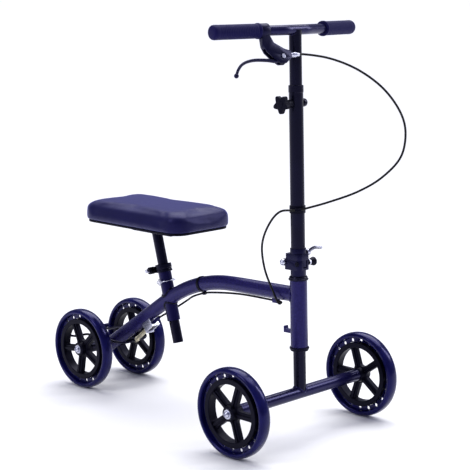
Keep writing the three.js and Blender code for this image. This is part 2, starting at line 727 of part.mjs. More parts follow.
const clampBand = pipeX(BAR_RADIUS + GAP, BAR_RADIUS + 5, CLAMP_AT - 10, CLAMP_AT + 10, 24);
const bracketPlate = slab(
  outline([
    [CLAMP_AT - 10, 13],
    [CLAMP_AT + 10, 13],
    [CLAMP_AT + 13, 35],
    [CLAMP_AT + 9, 49],
    [PIVOT[0] + 26, PIVOT[1] + 3],
    [PIVOT[0] + 11, PIVOT[1] + 15],
    [PIVOT[0] - 4, PIVOT[1] + 15],
    [PIVOT[0] - 23, 65],
    [PIVOT[0] - 24, 50],
    [PIVOT[0] - 8, 45],
    [CLAMP_AT - 15, 30],
  ]),
  -BRACKET_HALF,
  BRACKET_HALF,
);
const leverSlot = box(PIVOT[0] - 11, PIVOT[0] + 50, PIVOT[1] - 20, PIVOT[1] + 20, -4, 4);
const pivotHole = rod(3 + GAP, -20, 20, 16).translate(PIVOT[0], PIVOT[1], 0);
const bracket = cut(
  join(solid(clampBand), solid(bracketPlate)),
  solid(rodX(BAR_RADIUS + GAP, CLAMP_AT - 30, CLAMP_AT + 30, 24)),
  solid(leverSlot),
  solid(pivotHole),
);
piece('lever_bracket', bracket, blackPlastic, lever);

const leverPin = turned([
  [0, -BRACKET_HALF - 3],
  [5, -BRACKET_HALF - 3],
  [5, -BRACKET_HALF - GAP],
  [3, -BRACKET_HALF - GAP],
  [3, BRACKET_HALF + GAP],
  [5, BRACKET_HALF + GAP],
  [5, BRACKET_HALF + 2],
  [0, BRACKET_HALF + 2],
], 16).translate(PIVOT[0], PIVOT[1], 0);
piece('lever_pivot_screw', solid(leverPin), brightSteel, lever);

const bladeLine = smooth([
  [PIVOT[0] + 2, PIVOT[1] + 2, 0],
  [PIVOT[0] + 15, PIVOT[1] + 8, 0],
  [PIVOT[0] + 42, PIVOT[1] + 5, 0],
  [PIVOT[0] + 80, PIVOT[1] + 4, 0],
  [PIVOT[0] + 107, PIVOT[1] + 11, 0],
  [PIVOT[0] + 122, PIVOT[1] + 23, 0],
  [PIVOT[0] + 130, PIVOT[1] + 34, 0],
]);
const bladeTip = new THREE.SphereGeometry(5, 10, 6).translate(PIVOT[0] + 131, PIVOT[1] + 36, 0);
const blade = cut(
  join(
    solid(swept(bladeLine, 3.6, 8, 14)),
    solid(rod(7.5, -3.6, 3.6, 20).translate(PIVOT[0], PIVOT[1], 0)),
    solid(bladeTip),
  ),
  solid(pivotHole),
);
piece('brake_lever', blade, blackPlastic, lever);

const ADJUSTER_END = PIVOT[0] - 48;
const ADJUSTER_DROP = 57; // the cable below the bar, in the lever's plane
const adjuster = turned([
  [CABLE_RADIUS + 3 * GAP, ADJUSTER_END],
  [4.3, ADJUSTER_END],
  [4.3, ADJUSTER_END + 8],
  [5.6, ADJUSTER_END + 9],
  [5.6, ADJUSTER_END + 17],
  [4, ADJUSTER_END + 18],
  [4, PIVOT[0] - 24 - GAP],
  [CABLE_RADIUS + 3 * GAP, PIVOT[0] - 24 - GAP],
], 16);
piece('barrel_adjuster', solid(alongX(adjuster).translate(0, ADJUSTER_DROP, 0)), brightSteel, lever);

// ---------------------------------------------------------------- height knob and its bolt

const KNOB_OUT = 42; // the knob's inner face from the middle of the column
const KNOB_LOBES = 5;

function knobOutline() {
  const points = [];
  const count = KNOB_LOBES * 6;
  for (let i = 0; i < count; i++) {
    const angle = (2 * Math.PI * i) / count;
    const radius = 17.5 + 3.4 * Math.cos(KNOB_LOBES * angle);
    points.push([radius * Math.cos(angle), radius * Math.sin(angle)]);
  }
  return outline(points);
}

const knobBody = join(
  solid(slab(knobOutline(), KNOB_OUT, KNOB_OUT + 10)),
  solid(rod(9, COLUMN_RADIUS + 1, KNOB_OUT + 1, 20)),
);
const knobBore = rod(AXLE_RADIUS + GAP, 0, KNOB_OUT + 4, 16);
const knob = toGeometry(cut(knobBody, solid(knobBore)));
piece('height_knob', solid(knob.rotateY(-Math.PI / 2).translate(0, 0, KNOB_HEIGHT)), blackPlastic, steering);

const domeFace = COLUMN_RADIUS + GAP;
const heightBolt = turned([
  [0, -KNOB_OUT - 3],
  [AXLE_RADIUS, -KNOB_OUT - 3],
  [AXLE_RADIUS, domeFace],
  [9.5, domeFace],
  [9.5, domeFace + 9],
  [7, domeFace + 13.5],
  [0, domeFace + 15.5],
], 20);
piece('height_bolt', solid(alongX(heightBolt).translate(0, 0, KNOB_HEIGHT)), blackPaint, steering);

// ---------------------------------------------------------------- main tube and rear cross tube

const TUBE_SIDES = 16;
const TUBE_STEPS = 12;
const tubeSolid = (radius, bore) => solid(swept(tubeLine, radius, TUBE_SIDES, TUBE_STEPS, bore));
const socketRod = (radius) => solid(inScooter(rod(radius, -SOCKET_LENGTH - 40, SOCKET_TOP + 40, 24), seat));
const headRod = solid(
  inScooter(rod(HEAD_TUBE_RADIUS + GAP, HEAD_TUBE_START, headTop, 24), steering),
);
const rearRod = solid(rodX(REAR_TUBE_RADIUS + GAP, -60, 60, 24).translate(0, REAR_AXLE_Y, WHEEL_RADIUS));

function alongTube(geometry, y) {
  const { place, angle } = onTube(y);
  return geometry.rotateX(angle).translate(0, place.y, place.z);
}

const alongY = (geometry) => geometry.rotateX(-Math.PI / 2);
const STOP_Y = FRONT_AXLE_Y + 75;
const STRAP_Y = SEAT_POST_Y - 128.6;
const CABLE_DROP = MAIN_TUBE_RADIUS + 1.7 + CABLE_RADIUS + GAP; // cable below the tube's centre line

// The cable's route in the scooter's frame: out of the adjuster, a wide loop in front of the
// handlebar to the clip on the column, a second loop to the stop under the main tube, then along
// the tube, past the seat socket on the left and down to the brake bracket.
const underTube = (y, x = 0) => {
  const { place, angle } = onTube(y);
  return [x, y + CABLE_DROP * Math.sin(angle), place.z - CABLE_DROP * Math.cos(angle)];
};
const inSteering = (x, y, z) => new THREE.Vector3(x, y, z).applyMatrix4(steering.matrix).toArray();
const inLever = (x, y, z) => inSteering(
  ...new THREE.Vector3(x, y, z).applyMatrix4(lever.matrix).applyMatrix4(rightSide.matrix),
);
const inPull = (y) => new THREE.Vector3(0, y, 0).applyMatrix4(pull.matrix).toArray();

const CLIP_OUT = (COLUMN_RADIUS + 5.4) * Math.SQRT1_2;
const LOOP_BULGE = 236; // how far the upper loop stands out, forward and to the left
const LOOP_HEADING = radians(40); // forward of straight left
const clipPlace = [-CLIP_OUT, -CLIP_OUT, CLIP_HEIGHT];
const loopTop = inLever(ADJUSTER_END, ADJUSTER_DROP, 0);
const loopEnd = inSteering(...clipPlace);

// A point of the upper loop: a share of the bulge out from the chord, and a share of the way down.
function onLoop(out, down) {
  const point = new THREE.Vector3(...loopTop).lerp(new THREE.Vector3(...loopEnd), down);
  point.x += LOOP_BULGE * out * Math.cos(LOOP_HEADING);
  point.y -= LOOP_BULGE * out * Math.sin(LOOP_HEADING);
  return point.toArray();
}

const upperLoop = [
  onLoop(0.28, 0.025),
  onLoop(0.55, 0.1),
  onLoop(0.8, 0.23),
  onLoop(0.96, 0.39),
  onLoop(1, 0.51),
  onLoop(0.96, 0.66),
  onLoop(0.79, 0.79),
  onLoop(0.57, 0.88),
  onLoop(0.28, 0.95),
  onLoop(0.09, 0.985),
];
const HOLD_HEIGHT = HINGE_BASE + 40; // where the lower loop passes the steering hinge
const lowerLoop = [
  inSteering(-29, 24, CLIP_HEIGHT - 4),
  inSteering(-33, 55, CLIP_HEIGHT - 34),
  inSteering(-35, 76, CLIP_HEIGHT - 82),
];
const toStop = [
  inSteering(-34, 71, HOLD_HEIGHT - 26),
  inSteering(-29, 55, HOLD_HEIGHT - 70),
  underTube(STOP_Y - 26, -19),
  underTube(STOP_Y - 22, -6),
];
const route = [
  inLever(ADJUSTER_END + 6, ADJUSTER_DROP, 0),
  loopTop,
  inLever(ADJUSTER_END - 12, ADJUSTER_DROP, 0),
  ...upperLoop,
  inSteering(...clipPlace),
  ...lowerLoop,
  ...toStop,
  underTube(STOP_Y - 8),
  underTube(STOP_Y + 10),
  underTube((STOP_Y + STRAP_Y) / 2),
  underTube(STRAP_Y - 8),
  underTube(STRAP_Y + 8),
  underTube(SEAT_POST_Y - 79.6, 7),
  underTube(SEAT_POST_Y - 46.6, SOCKET_RADIUS + 4),
  underTube(SEAT_POST_Y - 16.6, SOCKET_RADIUS + 5.5),
  underTube(SEAT_POST_Y + 9.4, SOCKET_RADIUS),
  inPull(-10),
  inPull(BRACKET_START - GAP),
];
const cable = smooth(route);
const clipIndex = 3 + upperLoop.length;
const holdIndex = clipIndex + lowerLoop.length;
const stopIndex = holdIndex + toStop.length + 1;

// Part of the cable, from one point of its route to another.
class Section extends THREE.Curve {
  constructor(from, to) {
    super();
    this.from = from / (route.length - 1);
    this.to = to / (route.length - 1);
  }

  getPoint(t, target = new THREE.Vector3()) {
    return cable.getPoint(this.from + (this.to - this.from) * t, target);
  }
}

const CABLE_BREAK = 0.015; // part of a step of the route left open between two sections
const cableSections = [
  ['brake_cable_upper', 0, clipIndex, 26],
  ['brake_cable_middle', clipIndex, holdIndex, 10],
  ['brake_cable_lower', holdIndex, stopIndex, 14],
  ['brake_cable_frame', stopIndex, route.length - 1, 26],
];
const cableSolid = ([, from, to, steps], radius) =>
  solid(swept(new Section(from, to - CABLE_BREAK), radius, 8, steps));
const cableRoom = cableSections.map((section) => cableSolid(section, CABLE_RADIUS + GAP));
const boot = alongY(rod(4.4, BRACKET_START - 24, BRACKET_START - GAP, 12)).applyMatrix4(pull.matrix);
cableSections.forEach((section, i) => {
  const body = cableSolid(section, CABLE_RADIUS);
  piece(section[0], i === 3 ? join(body, solid(boot)) : body, cableSkin);
});

const clipHole = rodX(CABLE_RADIUS + 2, -7, 7, 12).rotateZ(-Math.PI / 4).translate(...clipPlace);
const columnBand = cut(
  join(
    solid(pipe(COLUMN_RADIUS + GAP, COLUMN_RADIUS + 2, CLIP_HEIGHT - 8, CLIP_HEIGHT + 8, 24)),
    solid(clipHole),
  ),
  solid(rod(COLUMN_RADIUS + GAP, CLIP_HEIGHT - 20, CLIP_HEIGHT + 20, 24)),
);
const clip = cut(
  solid(inScooter(toGeometry(columnBand), steering)),
  ...cableRoom,
  solid(inScooter(rodX(CABLE_RADIUS + GAP, -9, 9, 12).rotateZ(-Math.PI / 4).translate(...clipPlace), steering)),
);
piece('cable_clip', clip, blackPlastic);

const stopBlock = alongTube(box(-5, 5, -8, 8, -CABLE_DROP - 5, -MAIN_TUBE_RADIUS + 2), STOP_Y);
const stopHole = alongTube(alongY(rod(CABLE_RADIUS + GAP, -30, 30, 12)).translate(0, 0, -CABLE_DROP), STOP_Y);
const cutEnds = [headRod, rearRod, socketRod(SOCKET_RADIUS + GAP)];
const mainTube = cut(
  join(
    tubeSolid(MAIN_TUBE_RADIUS, MAIN_TUBE_RADIUS - MAIN_TUBE_WALL),
    cut(solid(stopBlock), solid(stopHole), ...cableRoom),
  ),
  ...cutEnds,
);
// past the cross tube nothing of the main tube is left but its outer length
const behindRear = solid(box(-60, 60, REAR_AXLE_Y - 1, REAR_AXLE_Y + 60, 0, 200));
const behindHead = solid(inScooter(box(-60, 60, -60, 2, HEAD_TUBE_START, headTop), steering));
piece('main_tube', cut(mainTube, behindRear, behindHead), veinPaint);

const NOTCH_X = 56; // the brake bar's arms from the middle
const GUIDE_TOP = REAR_TUBE_RADIUS + 21;
function guide(side) {
  const plate = box(side * NOTCH_X - 8, side * NOTCH_X + 8, -2.5, 2.5, REAR_TUBE_RADIUS - 4, GUIDE_TOP);
  const half = BRAKE_ROD_RADIUS + 0.4;
  const notch = box(side * NOTCH_X - half, side * NOTCH_X + half, -5, 5, BRAKE_ARM_RISE - half, GUIDE_TOP + 2);
  return cut(solid(plate), solid(notch));
}
const BRAKE_ARM_RISE = 26; // the bar's arms above the rear axle where they cross it
const rearTube = join(solid(crossTube(REAR_TUBE_RADIUS, REAR_TUBE_HALF)), guide(-1), guide(1));
const rearTubeGeometry = toGeometry(rearTube).translate(0, REAR_AXLE_Y, WHEEL_RADIUS);
piece('rear_cross_tube', solid(rearTubeGeometry), blackPaint);

const STRAP_HALF = 4;
const strapOuter = MAIN_TUBE_RADIUS + 1.7;
const strapEye = alongY(rod(CABLE_RADIUS + 2, -STRAP_HALF, STRAP_HALF, 16)).translate(0, 0, -CABLE_DROP);
const strap = cut(
  join(
    solid(alongTube(alongY(rod(strapOuter, -STRAP_HALF, STRAP_HALF, 24)), STRAP_Y)),
    solid(alongTube(strapEye, STRAP_Y)),
  ),
  tubeSolid(MAIN_TUBE_RADIUS + GAP, 0),
  ...cableRoom,
);
piece('cable_strap', strap, blackPlastic);

// ---------------------------------------------------------------- seat post, socket and clamp

const socketBottom = SOCKET_TOP - SOCKET_LENGTH;
const socketBore = SEAT_POST_RADIUS + GAP;
const PIN_HEIGHT = SOCKET_TOP - 34;
const PIN_RADIUS = 3;
const snapHole = solid(rodX(PIN_RADIUS + GAP, -60, 60, 16).translate(0, 0, PIN_HEIGHT));
const socket = cut(solid(pipe(socketBore, SOCKET_RADIUS, socketBottom, SOCKET_TOP, 24)), snapHole);
piece('seat_socket', socket, navyPaint, seat);

const postBottom = socketBottom - 55;
const postTop = postBottom + SEAT_POST_LENGTH;
const pinSlotHalf = PIN_RADIUS + GAP;
const slotBottom = PIN_HEIGHT - SEAT_TRAVEL_UP - 5;
const slotTop = PIN_HEIGHT + SEAT_TRAVEL_DOWN + 5;
const seatSlot = box(-40, 40, -pinSlotHalf, pinSlotHalf, slotBottom, slotTop);
const post = cut(solid(pipe(SEAT_POST_RADIUS - 2, SEAT_POST_RADIUS, postBottom, postTop, 24)), solid(seatSlot));
piece('seat_post', post, blackPaint, seat);

const CLAMP_TOP = SOCKET_TOP + 9;
const CLAMP_BOTTOM = SOCKET_TOP - 11;
const CLAMP_SCREW_BACK = SOCKET_RADIUS + 11;
const CLAMP_SCREW_HEIGHT = SOCKET_TOP - 2;
const aboutClamp = (geometry) => geometry.translate(0, CLAMP_SCREW_BACK, CLAMP_SCREW_HEIGHT);
const clampLip = SEAT_POST_RADIUS + RUNNING_GAP;
const seatClamp = cut(
  join(
    solid(rod(SOCKET_RADIUS + 4, CLAMP_BOTTOM, CLAMP_TOP, 24)),
    solid(box(-9, 9, SOCKET_RADIUS - 4, CLAMP_SCREW_BACK + 7, CLAMP_BOTTOM + 1, CLAMP_TOP - 3)),
  ),
  solid(rod(SOCKET_RADIUS + GAP, CLAMP_BOTTOM - 1, SOCKET_TOP + GAP, 24)),
  solid(rod(clampLip, CLAMP_BOTTOM - 1, CLAMP_TOP + 1, 24)),
  solid(box(-1.5, 1.5, SOCKET_RADIUS - 8, CLAMP_SCREW_BACK + 9, CLAMP_BOTTOM - 1, CLAMP_TOP + 1)),
  solid(aboutClamp(rodX(3 + GAP, -30, 30, 16))),
);
piece('seat_clamp', seatClamp, blackPaint, seat);

const clampScrew = turned([
  [0, -36],
  [3, -36],
  [4.5, -34],
  [4.5, -26],
  [8.5, -25],
  [8.5, -9 - GAP],
  [3, -9 - GAP],
  [3, 9.5],
  [0, 9.5],
], 16);
piece('seat_clamp_screw', solid(aboutClamp(alongX(clampScrew))), blackPlastic, seat);

// The clamp's cam lever turns on its own cross pin, beyond the screw's left end.
const CAM_OUT = 17;
function clampLever() {
  const cam = rod(6.5, -6, 6, 20).translate(CAM_OUT, 0, 0);
  const arm = smooth([
    [CAM_OUT + 1, 0, 0],
    [CAM_OUT + 5, 12, -1],
    [CAM_OUT + 5, 28, -2],
    [CAM_OUT + 2, 46, -3],
  ]);
  return join(solid(aboutClamp(cam)), solid(aboutClamp(swept(arm, 3.6, 10, 8))));
}
piece('seat_clamp_lever', clampLever(), brightSteel, seat);

const BAIL_RADIUS = SOCKET_RADIUS + 5.5;
const snapPin = turned([
  [0, -SOCKET_RADIUS - 9],
  [4.5, -SOCKET_RADIUS - 9],
  [4.5, -SOCKET_RADIUS - 1],
  [PIN_RADIUS, -SOCKET_RADIUS - 1],
  [PIN_RADIUS, SOCKET_RADIUS + 10],
  [0, SOCKET_RADIUS + 10],
], 12);
const bailLine = new THREE.CatmullRomCurve3(
  Array.from({ length: 9 }, (_, i) => {
    const angle = Math.PI + (Math.PI * i) / 8;
    return new THREE.Vector3(BAIL_RADIUS * Math.cos(angle), BAIL_RADIUS * Math.sin(angle), PIN_HEIGHT);
  }),
);
const pinAndBail = join(
  solid(alongX(snapPin).translate(0, 0, PIN_HEIGHT)),
  solid(swept(bailLine, 1.3, 6, 12)),
);
piece('snap_pin', pinAndBail, brightSteel, seat);

// ---------------------------------------------------------------- seat plate, board and pad

const padMiddle = inScooter(new THREE.BufferGeometry().setFromPoints([new THREE.Vector3(0, 0, postTop)]), seat)
  .attributes.position;
const SEAT_Y = padMiddle.getY(0);
const padBottom = padMiddle.getZ(0) + PAD_RISE;
const BOARD_THICKNESS = 5;
const boardBottom = padBottom - GAP - BOARD_THICKNESS;
const plateTop = boardBottom - GAP;
const plateThickness = 14;
const PLATE_HALF_WIDTH = 42;
const plate = outline([
  [-70, plateTop],
  [-46, plateTop - plateThickness],
  [100, plateTop - plateThickness],
  [116, plateTop],
]);
// the outline runs forward, and the plate is as wide as it is extruded
const plateBody = slab(plate, -PLATE_HALF_WIDTH, PLATE_HALF_WIDTH).rotateZ(-Math.PI / 2).rotateY(-Math.PI / 2);
const plateGeometry = toGeometry(solid(plateBody));
plateGeometry.computeBoundingBox();
const seatPlate = cut(
  solid(plateGeometry.translate(0, SEAT_Y, 0)),
  solid(inScooter(rod(SEAT_POST_RADIUS + GAP, 0, postTop + GAP, 24), seat)),
);
piece('seat_plate', seatPlate, blackPaint);

const board = slab(
  roundedRectangle(PAD_WIDTH / 2 - 8, -PAD_LENGTH / 2 + 8, PAD_LENGTH / 2 - 8, PAD_CORNER - 8),
  boardBottom,
  boardBottom + BOARD_THICKNESS,
);
piece('seat_board', solid(board.translate(0, SEAT_Y, 0)), blackPlastic);

const PAD_EDGE = 7;
const padShape = roundedRectangle(
  PAD_WIDTH / 2 - PAD_EDGE,
  -PAD_LENGTH / 2 + PAD_EDGE,
  PAD_LENGTH / 2 - PAD_EDGE,
  PAD_CORNER - PAD_EDGE,
);
const pad = new THREE.ExtrudeGeometry(padShape, {
  depth: PAD_THICKNESS - 2 * PAD_EDGE,
  bevelEnabled: true,
  bevelThickness: PAD_EDGE,
  bevelSize: PAD_EDGE,
  bevelSegments: 2,
  curveSegments: 4,
}).translate(0, SEAT_Y, padBottom + PAD_EDGE);
piece('seat_pad', solid(pad), vinyl);

// ---------------------------------------------------------------- rear brake

const BRACKET_WIDE = 12;
const SHEET = 3;
const tubeInPull = solid(
  fromScooter(swept(tubeLine, MAIN_TUBE_RADIUS + GAP, TUBE_SIDES, TUBE_STEPS), pull),
);
const bracketTop = 34;
const brakeBracket = cut(
  join(
    solid(box(-BRACKET_WIDE, BRACKET_WIDE, BRACKET_START, BRACKET_START + SHEET, -9, bracketTop)),
    solid(box(-BRACKET_WIDE, BRACKET_WIDE, BRACKET_END - SHEET, BRACKET_END, -13, bracketTop)),
    solid(box(-BRACKET_WIDE, SHEET - BRACKET_WIDE, BRACKET_START, BRACKET_END, -9, bracketTop)),
    solid(box(BRACKET_WIDE - SHEET, BRACKET_WIDE, BRACKET_START, BRACKET_END, -9, bracketTop)),
  ),
  tubeInPull,
  solid(box(-40, 40, BRACKET_START - 5, BRACKET_END + 5, 20, 80)),
  solid(alongY(rod(1.6, -60, 20, 12))),
  solid(alongY(rod(BRAKE_ROD_RADIUS + 0.5, 20, 60, 16))),
);
piece('brake_bracket', brakeBracket, brightSteel, pull);

const ROD_END = 100;
const pullRod = turned([
  [0, 13.5],
  [1, 13.5],
  [1, 27],
  [6, 27],
  [6, 33],
  [BRAKE_ROD_RADIUS, 33],
  [BRAKE_ROD_RADIUS, ROD_END - 8],
  [6.5, ROD_END - 8],
  [6.5, ROD_END - 4],
  [0, ROD_END - 4],
], 16);
piece('brake_pull_rod', solid(alongY(pullRod)), zinc, pull);

// A compression spring, drawn as the sleeve that its coils fill.
const springSleeve = pipe(BRAKE_ROD_RADIUS + 0.6, BRAKE_ROD_RADIUS + 2.6, BRACKET_END + 0.4, ROD_END - 8.4, 16);
piece('brake_spring', solid(alongY(springSleeve)), zinc, pull);

const rodTip = new THREE.Vector3(0, ROD_END, 0).applyMatrix4(pull.matrix);
const armTop = WHEEL_RADIUS + BRAKE_ARM_RISE;
const barZ = WHEEL_RADIUS + BRAKE_BAR_RISE;
const armPoints = [
  [30, rodTip.y + 3, rodTip.z - 1],
  [48, rodTip.y + 16, rodTip.z + 1],
  [NOTCH_X, rodTip.y + 42, armTop],
  [NOTCH_X, REAR_AXLE_Y, armTop],
  [NOTCH_X, REAR_AXLE_Y + 22, armTop],
  [NOTCH_X, BRAKE_BAR_Y - 40, barZ + 3],
  [NOTCH_X, BRAKE_BAR_Y - 16, barZ],
  [NOTCH_X + 10, BRAKE_BAR_Y - 2, barZ],
  [NOTCH_X + 18, BRAKE_BAR_Y, barZ],
  [REAR_TRACK / 2 - 1, BRAKE_BAR_Y, barZ],
];
const mirrored = armPoints.map(([x, y, z]) => [-x, y, z]);
const bailCurve = smooth([...mirrored.reverse(), [0, rodTip.y, rodTip.z], ...armPoints]);
piece('brake_bar', solid(swept(bailCurve, BRAKE_ROD_RADIUS, 8, 38)), blackPaint);

function sleeve(side) {
  const middle = side * (REAR_TRACK / 2 - SLEEVE_INSET);
  const half = SLEEVE_LENGTH / 2;
  const geometry = pipeX(BRAKE_ROD_RADIUS + 2 * GAP, SLEEVE_RADIUS, middle - half, middle + half, 12);
  return solid(geometry.translate(0, BRAKE_BAR_Y, barZ));
}
piece('brake_sleeve_left', sleeve(1), rubber);
piece('brake_sleeve_right', sleeve(-1), rubber);

// ---------------------------------------------------------------- origin

const bounds = new THREE.Box3().setFromObject(scooter, true);
scooter.position.y = -(bounds.min.y + bounds.max.y) / 2;

export default scooter;
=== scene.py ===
import json
import math

import bmesh
import bpy
from mathutils import Matrix, Vector, noise

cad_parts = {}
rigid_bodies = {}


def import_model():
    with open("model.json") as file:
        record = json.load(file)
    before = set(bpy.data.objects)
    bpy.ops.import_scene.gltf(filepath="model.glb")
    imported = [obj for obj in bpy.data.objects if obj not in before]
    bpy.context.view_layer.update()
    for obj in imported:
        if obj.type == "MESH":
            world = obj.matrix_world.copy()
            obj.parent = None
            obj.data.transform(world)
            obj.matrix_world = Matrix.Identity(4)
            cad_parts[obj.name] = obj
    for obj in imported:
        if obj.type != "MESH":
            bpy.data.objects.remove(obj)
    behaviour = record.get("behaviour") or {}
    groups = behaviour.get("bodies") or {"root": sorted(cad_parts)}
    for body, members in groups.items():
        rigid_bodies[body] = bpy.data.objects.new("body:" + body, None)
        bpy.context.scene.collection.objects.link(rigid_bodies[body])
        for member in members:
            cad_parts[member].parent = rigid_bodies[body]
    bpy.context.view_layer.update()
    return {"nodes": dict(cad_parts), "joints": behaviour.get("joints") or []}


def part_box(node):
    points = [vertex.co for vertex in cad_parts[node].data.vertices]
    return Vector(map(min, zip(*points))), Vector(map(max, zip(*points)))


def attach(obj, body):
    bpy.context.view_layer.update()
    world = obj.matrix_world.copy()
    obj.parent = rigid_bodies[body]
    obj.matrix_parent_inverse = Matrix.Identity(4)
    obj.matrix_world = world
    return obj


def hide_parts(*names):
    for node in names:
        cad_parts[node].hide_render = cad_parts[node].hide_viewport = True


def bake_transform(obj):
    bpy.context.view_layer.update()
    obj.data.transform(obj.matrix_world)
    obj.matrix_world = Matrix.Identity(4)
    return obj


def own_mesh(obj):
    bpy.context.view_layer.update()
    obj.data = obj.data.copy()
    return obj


for leftover in list(bpy.data.objects):
    bpy.data.objects.remove(leftover)
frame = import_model()
joint = {j["name"]: j for j in frame["joints"]}
scene = bpy.context.scene

# ---------------------------------------------------------------- studio
# A pale seamless floor, two large soft boxes and an overhead one, and the camera at standing
# height off the scooter's front right corner.

front_axle = Vector(joint["steering"]["pos_m"])
rear_axle = Vector(joint["rear_left_wheel_spin"]["pos_m"]) * Vector((0, 1, 1))

camera_data = bpy.data.cameras.new("camera")
camera_data.sensor_width = 36
camera_data.lens = 110.56
camera = bpy.data.objects.new("camera", camera_data)
camera.location = front_axle + Vector((-2.3438, -2.0804, 0.9256))
camera.rotation_euler = (math.radians(90 - 10.254), 0, math.radians(-45.736))
scene.collection.objects.link(camera)
scene.camera = camera
scene.view_settings.view_transform = "Standard"

floor_mesh = bpy.data.meshes.new("floor")
floor_mesh.from_pydata([(-90, -90, 0), (90, -90, 0), (90, 90, 0), (-90, 90, 0)], [], [(0, 1, 2, 3)])
floor = bpy.data.objects.new("floor", floor_mesh)
scene.collection.objects.link(floor)
paper = bpy.data.materials.new("floor_paper")
paper.use_nodes = True
paper.node_tree.nodes["Principled BSDF"].inputs["Base Color"].default_value = (0.9, 0.9, 0.9, 1)
paper.node_tree.nodes["Principled BSDF"].inputs["Roughness"].default_value = 0.9
floor_mesh.materials.append(paper)

world = bpy.data.worlds.new("studio")
world.use_nodes = True
dim = world.node_tree.nodes["Background"]
dim.inputs["Color"].default_value = (0.66, 0.68, 1.0, 1)
dim.inputs["Strength"].default_value = 0.36
white = world.node_tree.nodes.new("ShaderNodeBackground")
white.inputs["Color"].default_value = (1, 1, 1, 1)
rays = world.node_tree.nodes.new("ShaderNodeLightPath")
choice = world.node_tree.nodes.new("ShaderNodeMixShader")
join = world.node_tree.links.new
join(rays.outputs["Is Camera Ray"], choice.inputs["Fac"])
join(dim.outputs["Background"], choice.inputs[1])
join(white.outputs["Background"], choice.inputs[2])
join(choice.outputs["Shader"], world.node_tree.nodes["World Output"].inputs["Surface"])
scene.world = world

sky_panel = bpy.data.lights.new("sky_panel", "SUN")
sky_panel.energy = 3.1
sky_panel.angle = math.radians(60)
sky_lamp = bpy.data.objects.new("sky_panel", sky_panel)
sky_lamp.rotation_euler = Vector((-0.35, -0.25, -1)).to_track_quat("-Z", "Y").to_euler()
scene.collection.objects.link(sky_lamp)


def soft_box(name, place, aim, width, height, watts):
    data = bpy.data.lights.new(name, "AREA")
    data.shape = "RECTANGLE"
    data.size = width
    data.size_y = height
    data.energy = watts
    lamp = bpy.data.objects.new(name, data)
    lamp.location = place
    lamp.rotation_euler = (Vector(aim) - Vector(place)).to_track_quat("-Z", "Y").to_euler()
    scene.collection.objects.link(lamp)


soft_box("key", (-2.6, 0.6, 2.4), (0, 0, 0.4), 0.9, 1.6, 34)
soft_box("rim", (2.2, -1.6, 2.0), (0, 0, 0.4), 0.5, 1.6, 26)

# ---------------------------------------------------------------- backbone tube
# The main tube is 35 mm steel tube, bent once and welded to the head tube and the rear cross
# tube. It has a dark navy vein powder coat, which levels out to a fine hammered skin.

TO_X = Matrix.Rotation(math.radians(90), 4, "Y")  # turns a local Z onto X
TO_Y = Matrix.Rotation(math.radians(-90), 4, "X")  # turns a local Z onto Y


def finish(name, colour, roughness, metallic=0.0, **sockets):
    """A new material with its Principled shader's plain values set."""
    material = bpy.data.materials.new(name)
    material.use_nodes = True
    shader = material.node_tree.nodes["Principled BSDF"]
    shader.inputs["Base Color"].default_value = (*colour, 1)
    shader.inputs["Roughness"].default_value = roughness
    shader.inputs["Metallic"].default_value = metallic
    for socket, value in sockets.items():
        shader.inputs[socket.replace("_", " ")].default_value = value
    return material


def texture(material, kind, scale, **settings):
    """A texture node on object coordinates, in cycles per metre."""
    tree = material.node_tree
    coordinates = tree.nodes.get("coordinates")
    if coordinates is None:
        coordinates = tree.nodes.new("ShaderNodeTexCoord")
        coordinates.name = "coordinates"
    node = tree.nodes.new(kind)
    node.inputs["Scale"].default_value = scale
    for name, value in settings.items():
        if name in ("feature", "wave_type", "bands_direction"):
            setattr(node, name, value)
        else:
            node.inputs[name].default_value = value
    tree.links.new(coordinates.outputs["Object"], node.inputs["Vector"])
    return node


def bumped(material, source, strength, height):
    """Adds a bump from a texture's output, on top of any bump that is there."""
    tree = material.node_tree
    shader = tree.nodes["Principled BSDF"]
    bump = tree.nodes.new("ShaderNodeBump")
    bump.inputs["Strength"].default_value = strength
    bump.inputs["Distance"].default_value = height
    tree.links.new(source, bump.inputs["Height"])
    if shader.inputs["Normal"].is_linked:
        tree.links.new(shader.inputs["Normal"].links[0].from_socket, bump.inputs["Normal"])
    tree.links.new(bump.outputs["Normal"], shader.inputs["Normal"])


def ranged(material, source, socket, low, high):
    """Lets a texture's output move one of the shader's values between low and high."""
    tree = material.node_tree
    spread = tree.nodes.new("ShaderNodeMapRange")
    spread.inputs["To Min"].default_value = low
    spread.inputs["To Max"].default_value = high
    tree.links.new(source, spread.inputs["Value"])
    tree.links.new(spread.outputs["Result"], tree.nodes["Principled BSDF"].inputs[socket])


def tinted(material, source, stops):
    """Colours the surface from a texture's output. stops are (place, colour)."""
    tree = material.node_tree
    ramp = tree.nodes.new("ShaderNodeValToRGB")
    while len(ramp.color_ramp.elements) < len(stops):
        ramp.color_ramp.elements.new(0.5)
    for element, (place, colour) in zip(ramp.color_ramp.elements, stops):
        element.position = place
        element.color = (*colour, 1)
    tree.links.new(source, ramp.inputs["Fac"])
    tree.links.new(ramp.outputs["Color"], tree.nodes["Principled BSDF"].inputs["Base Color"])


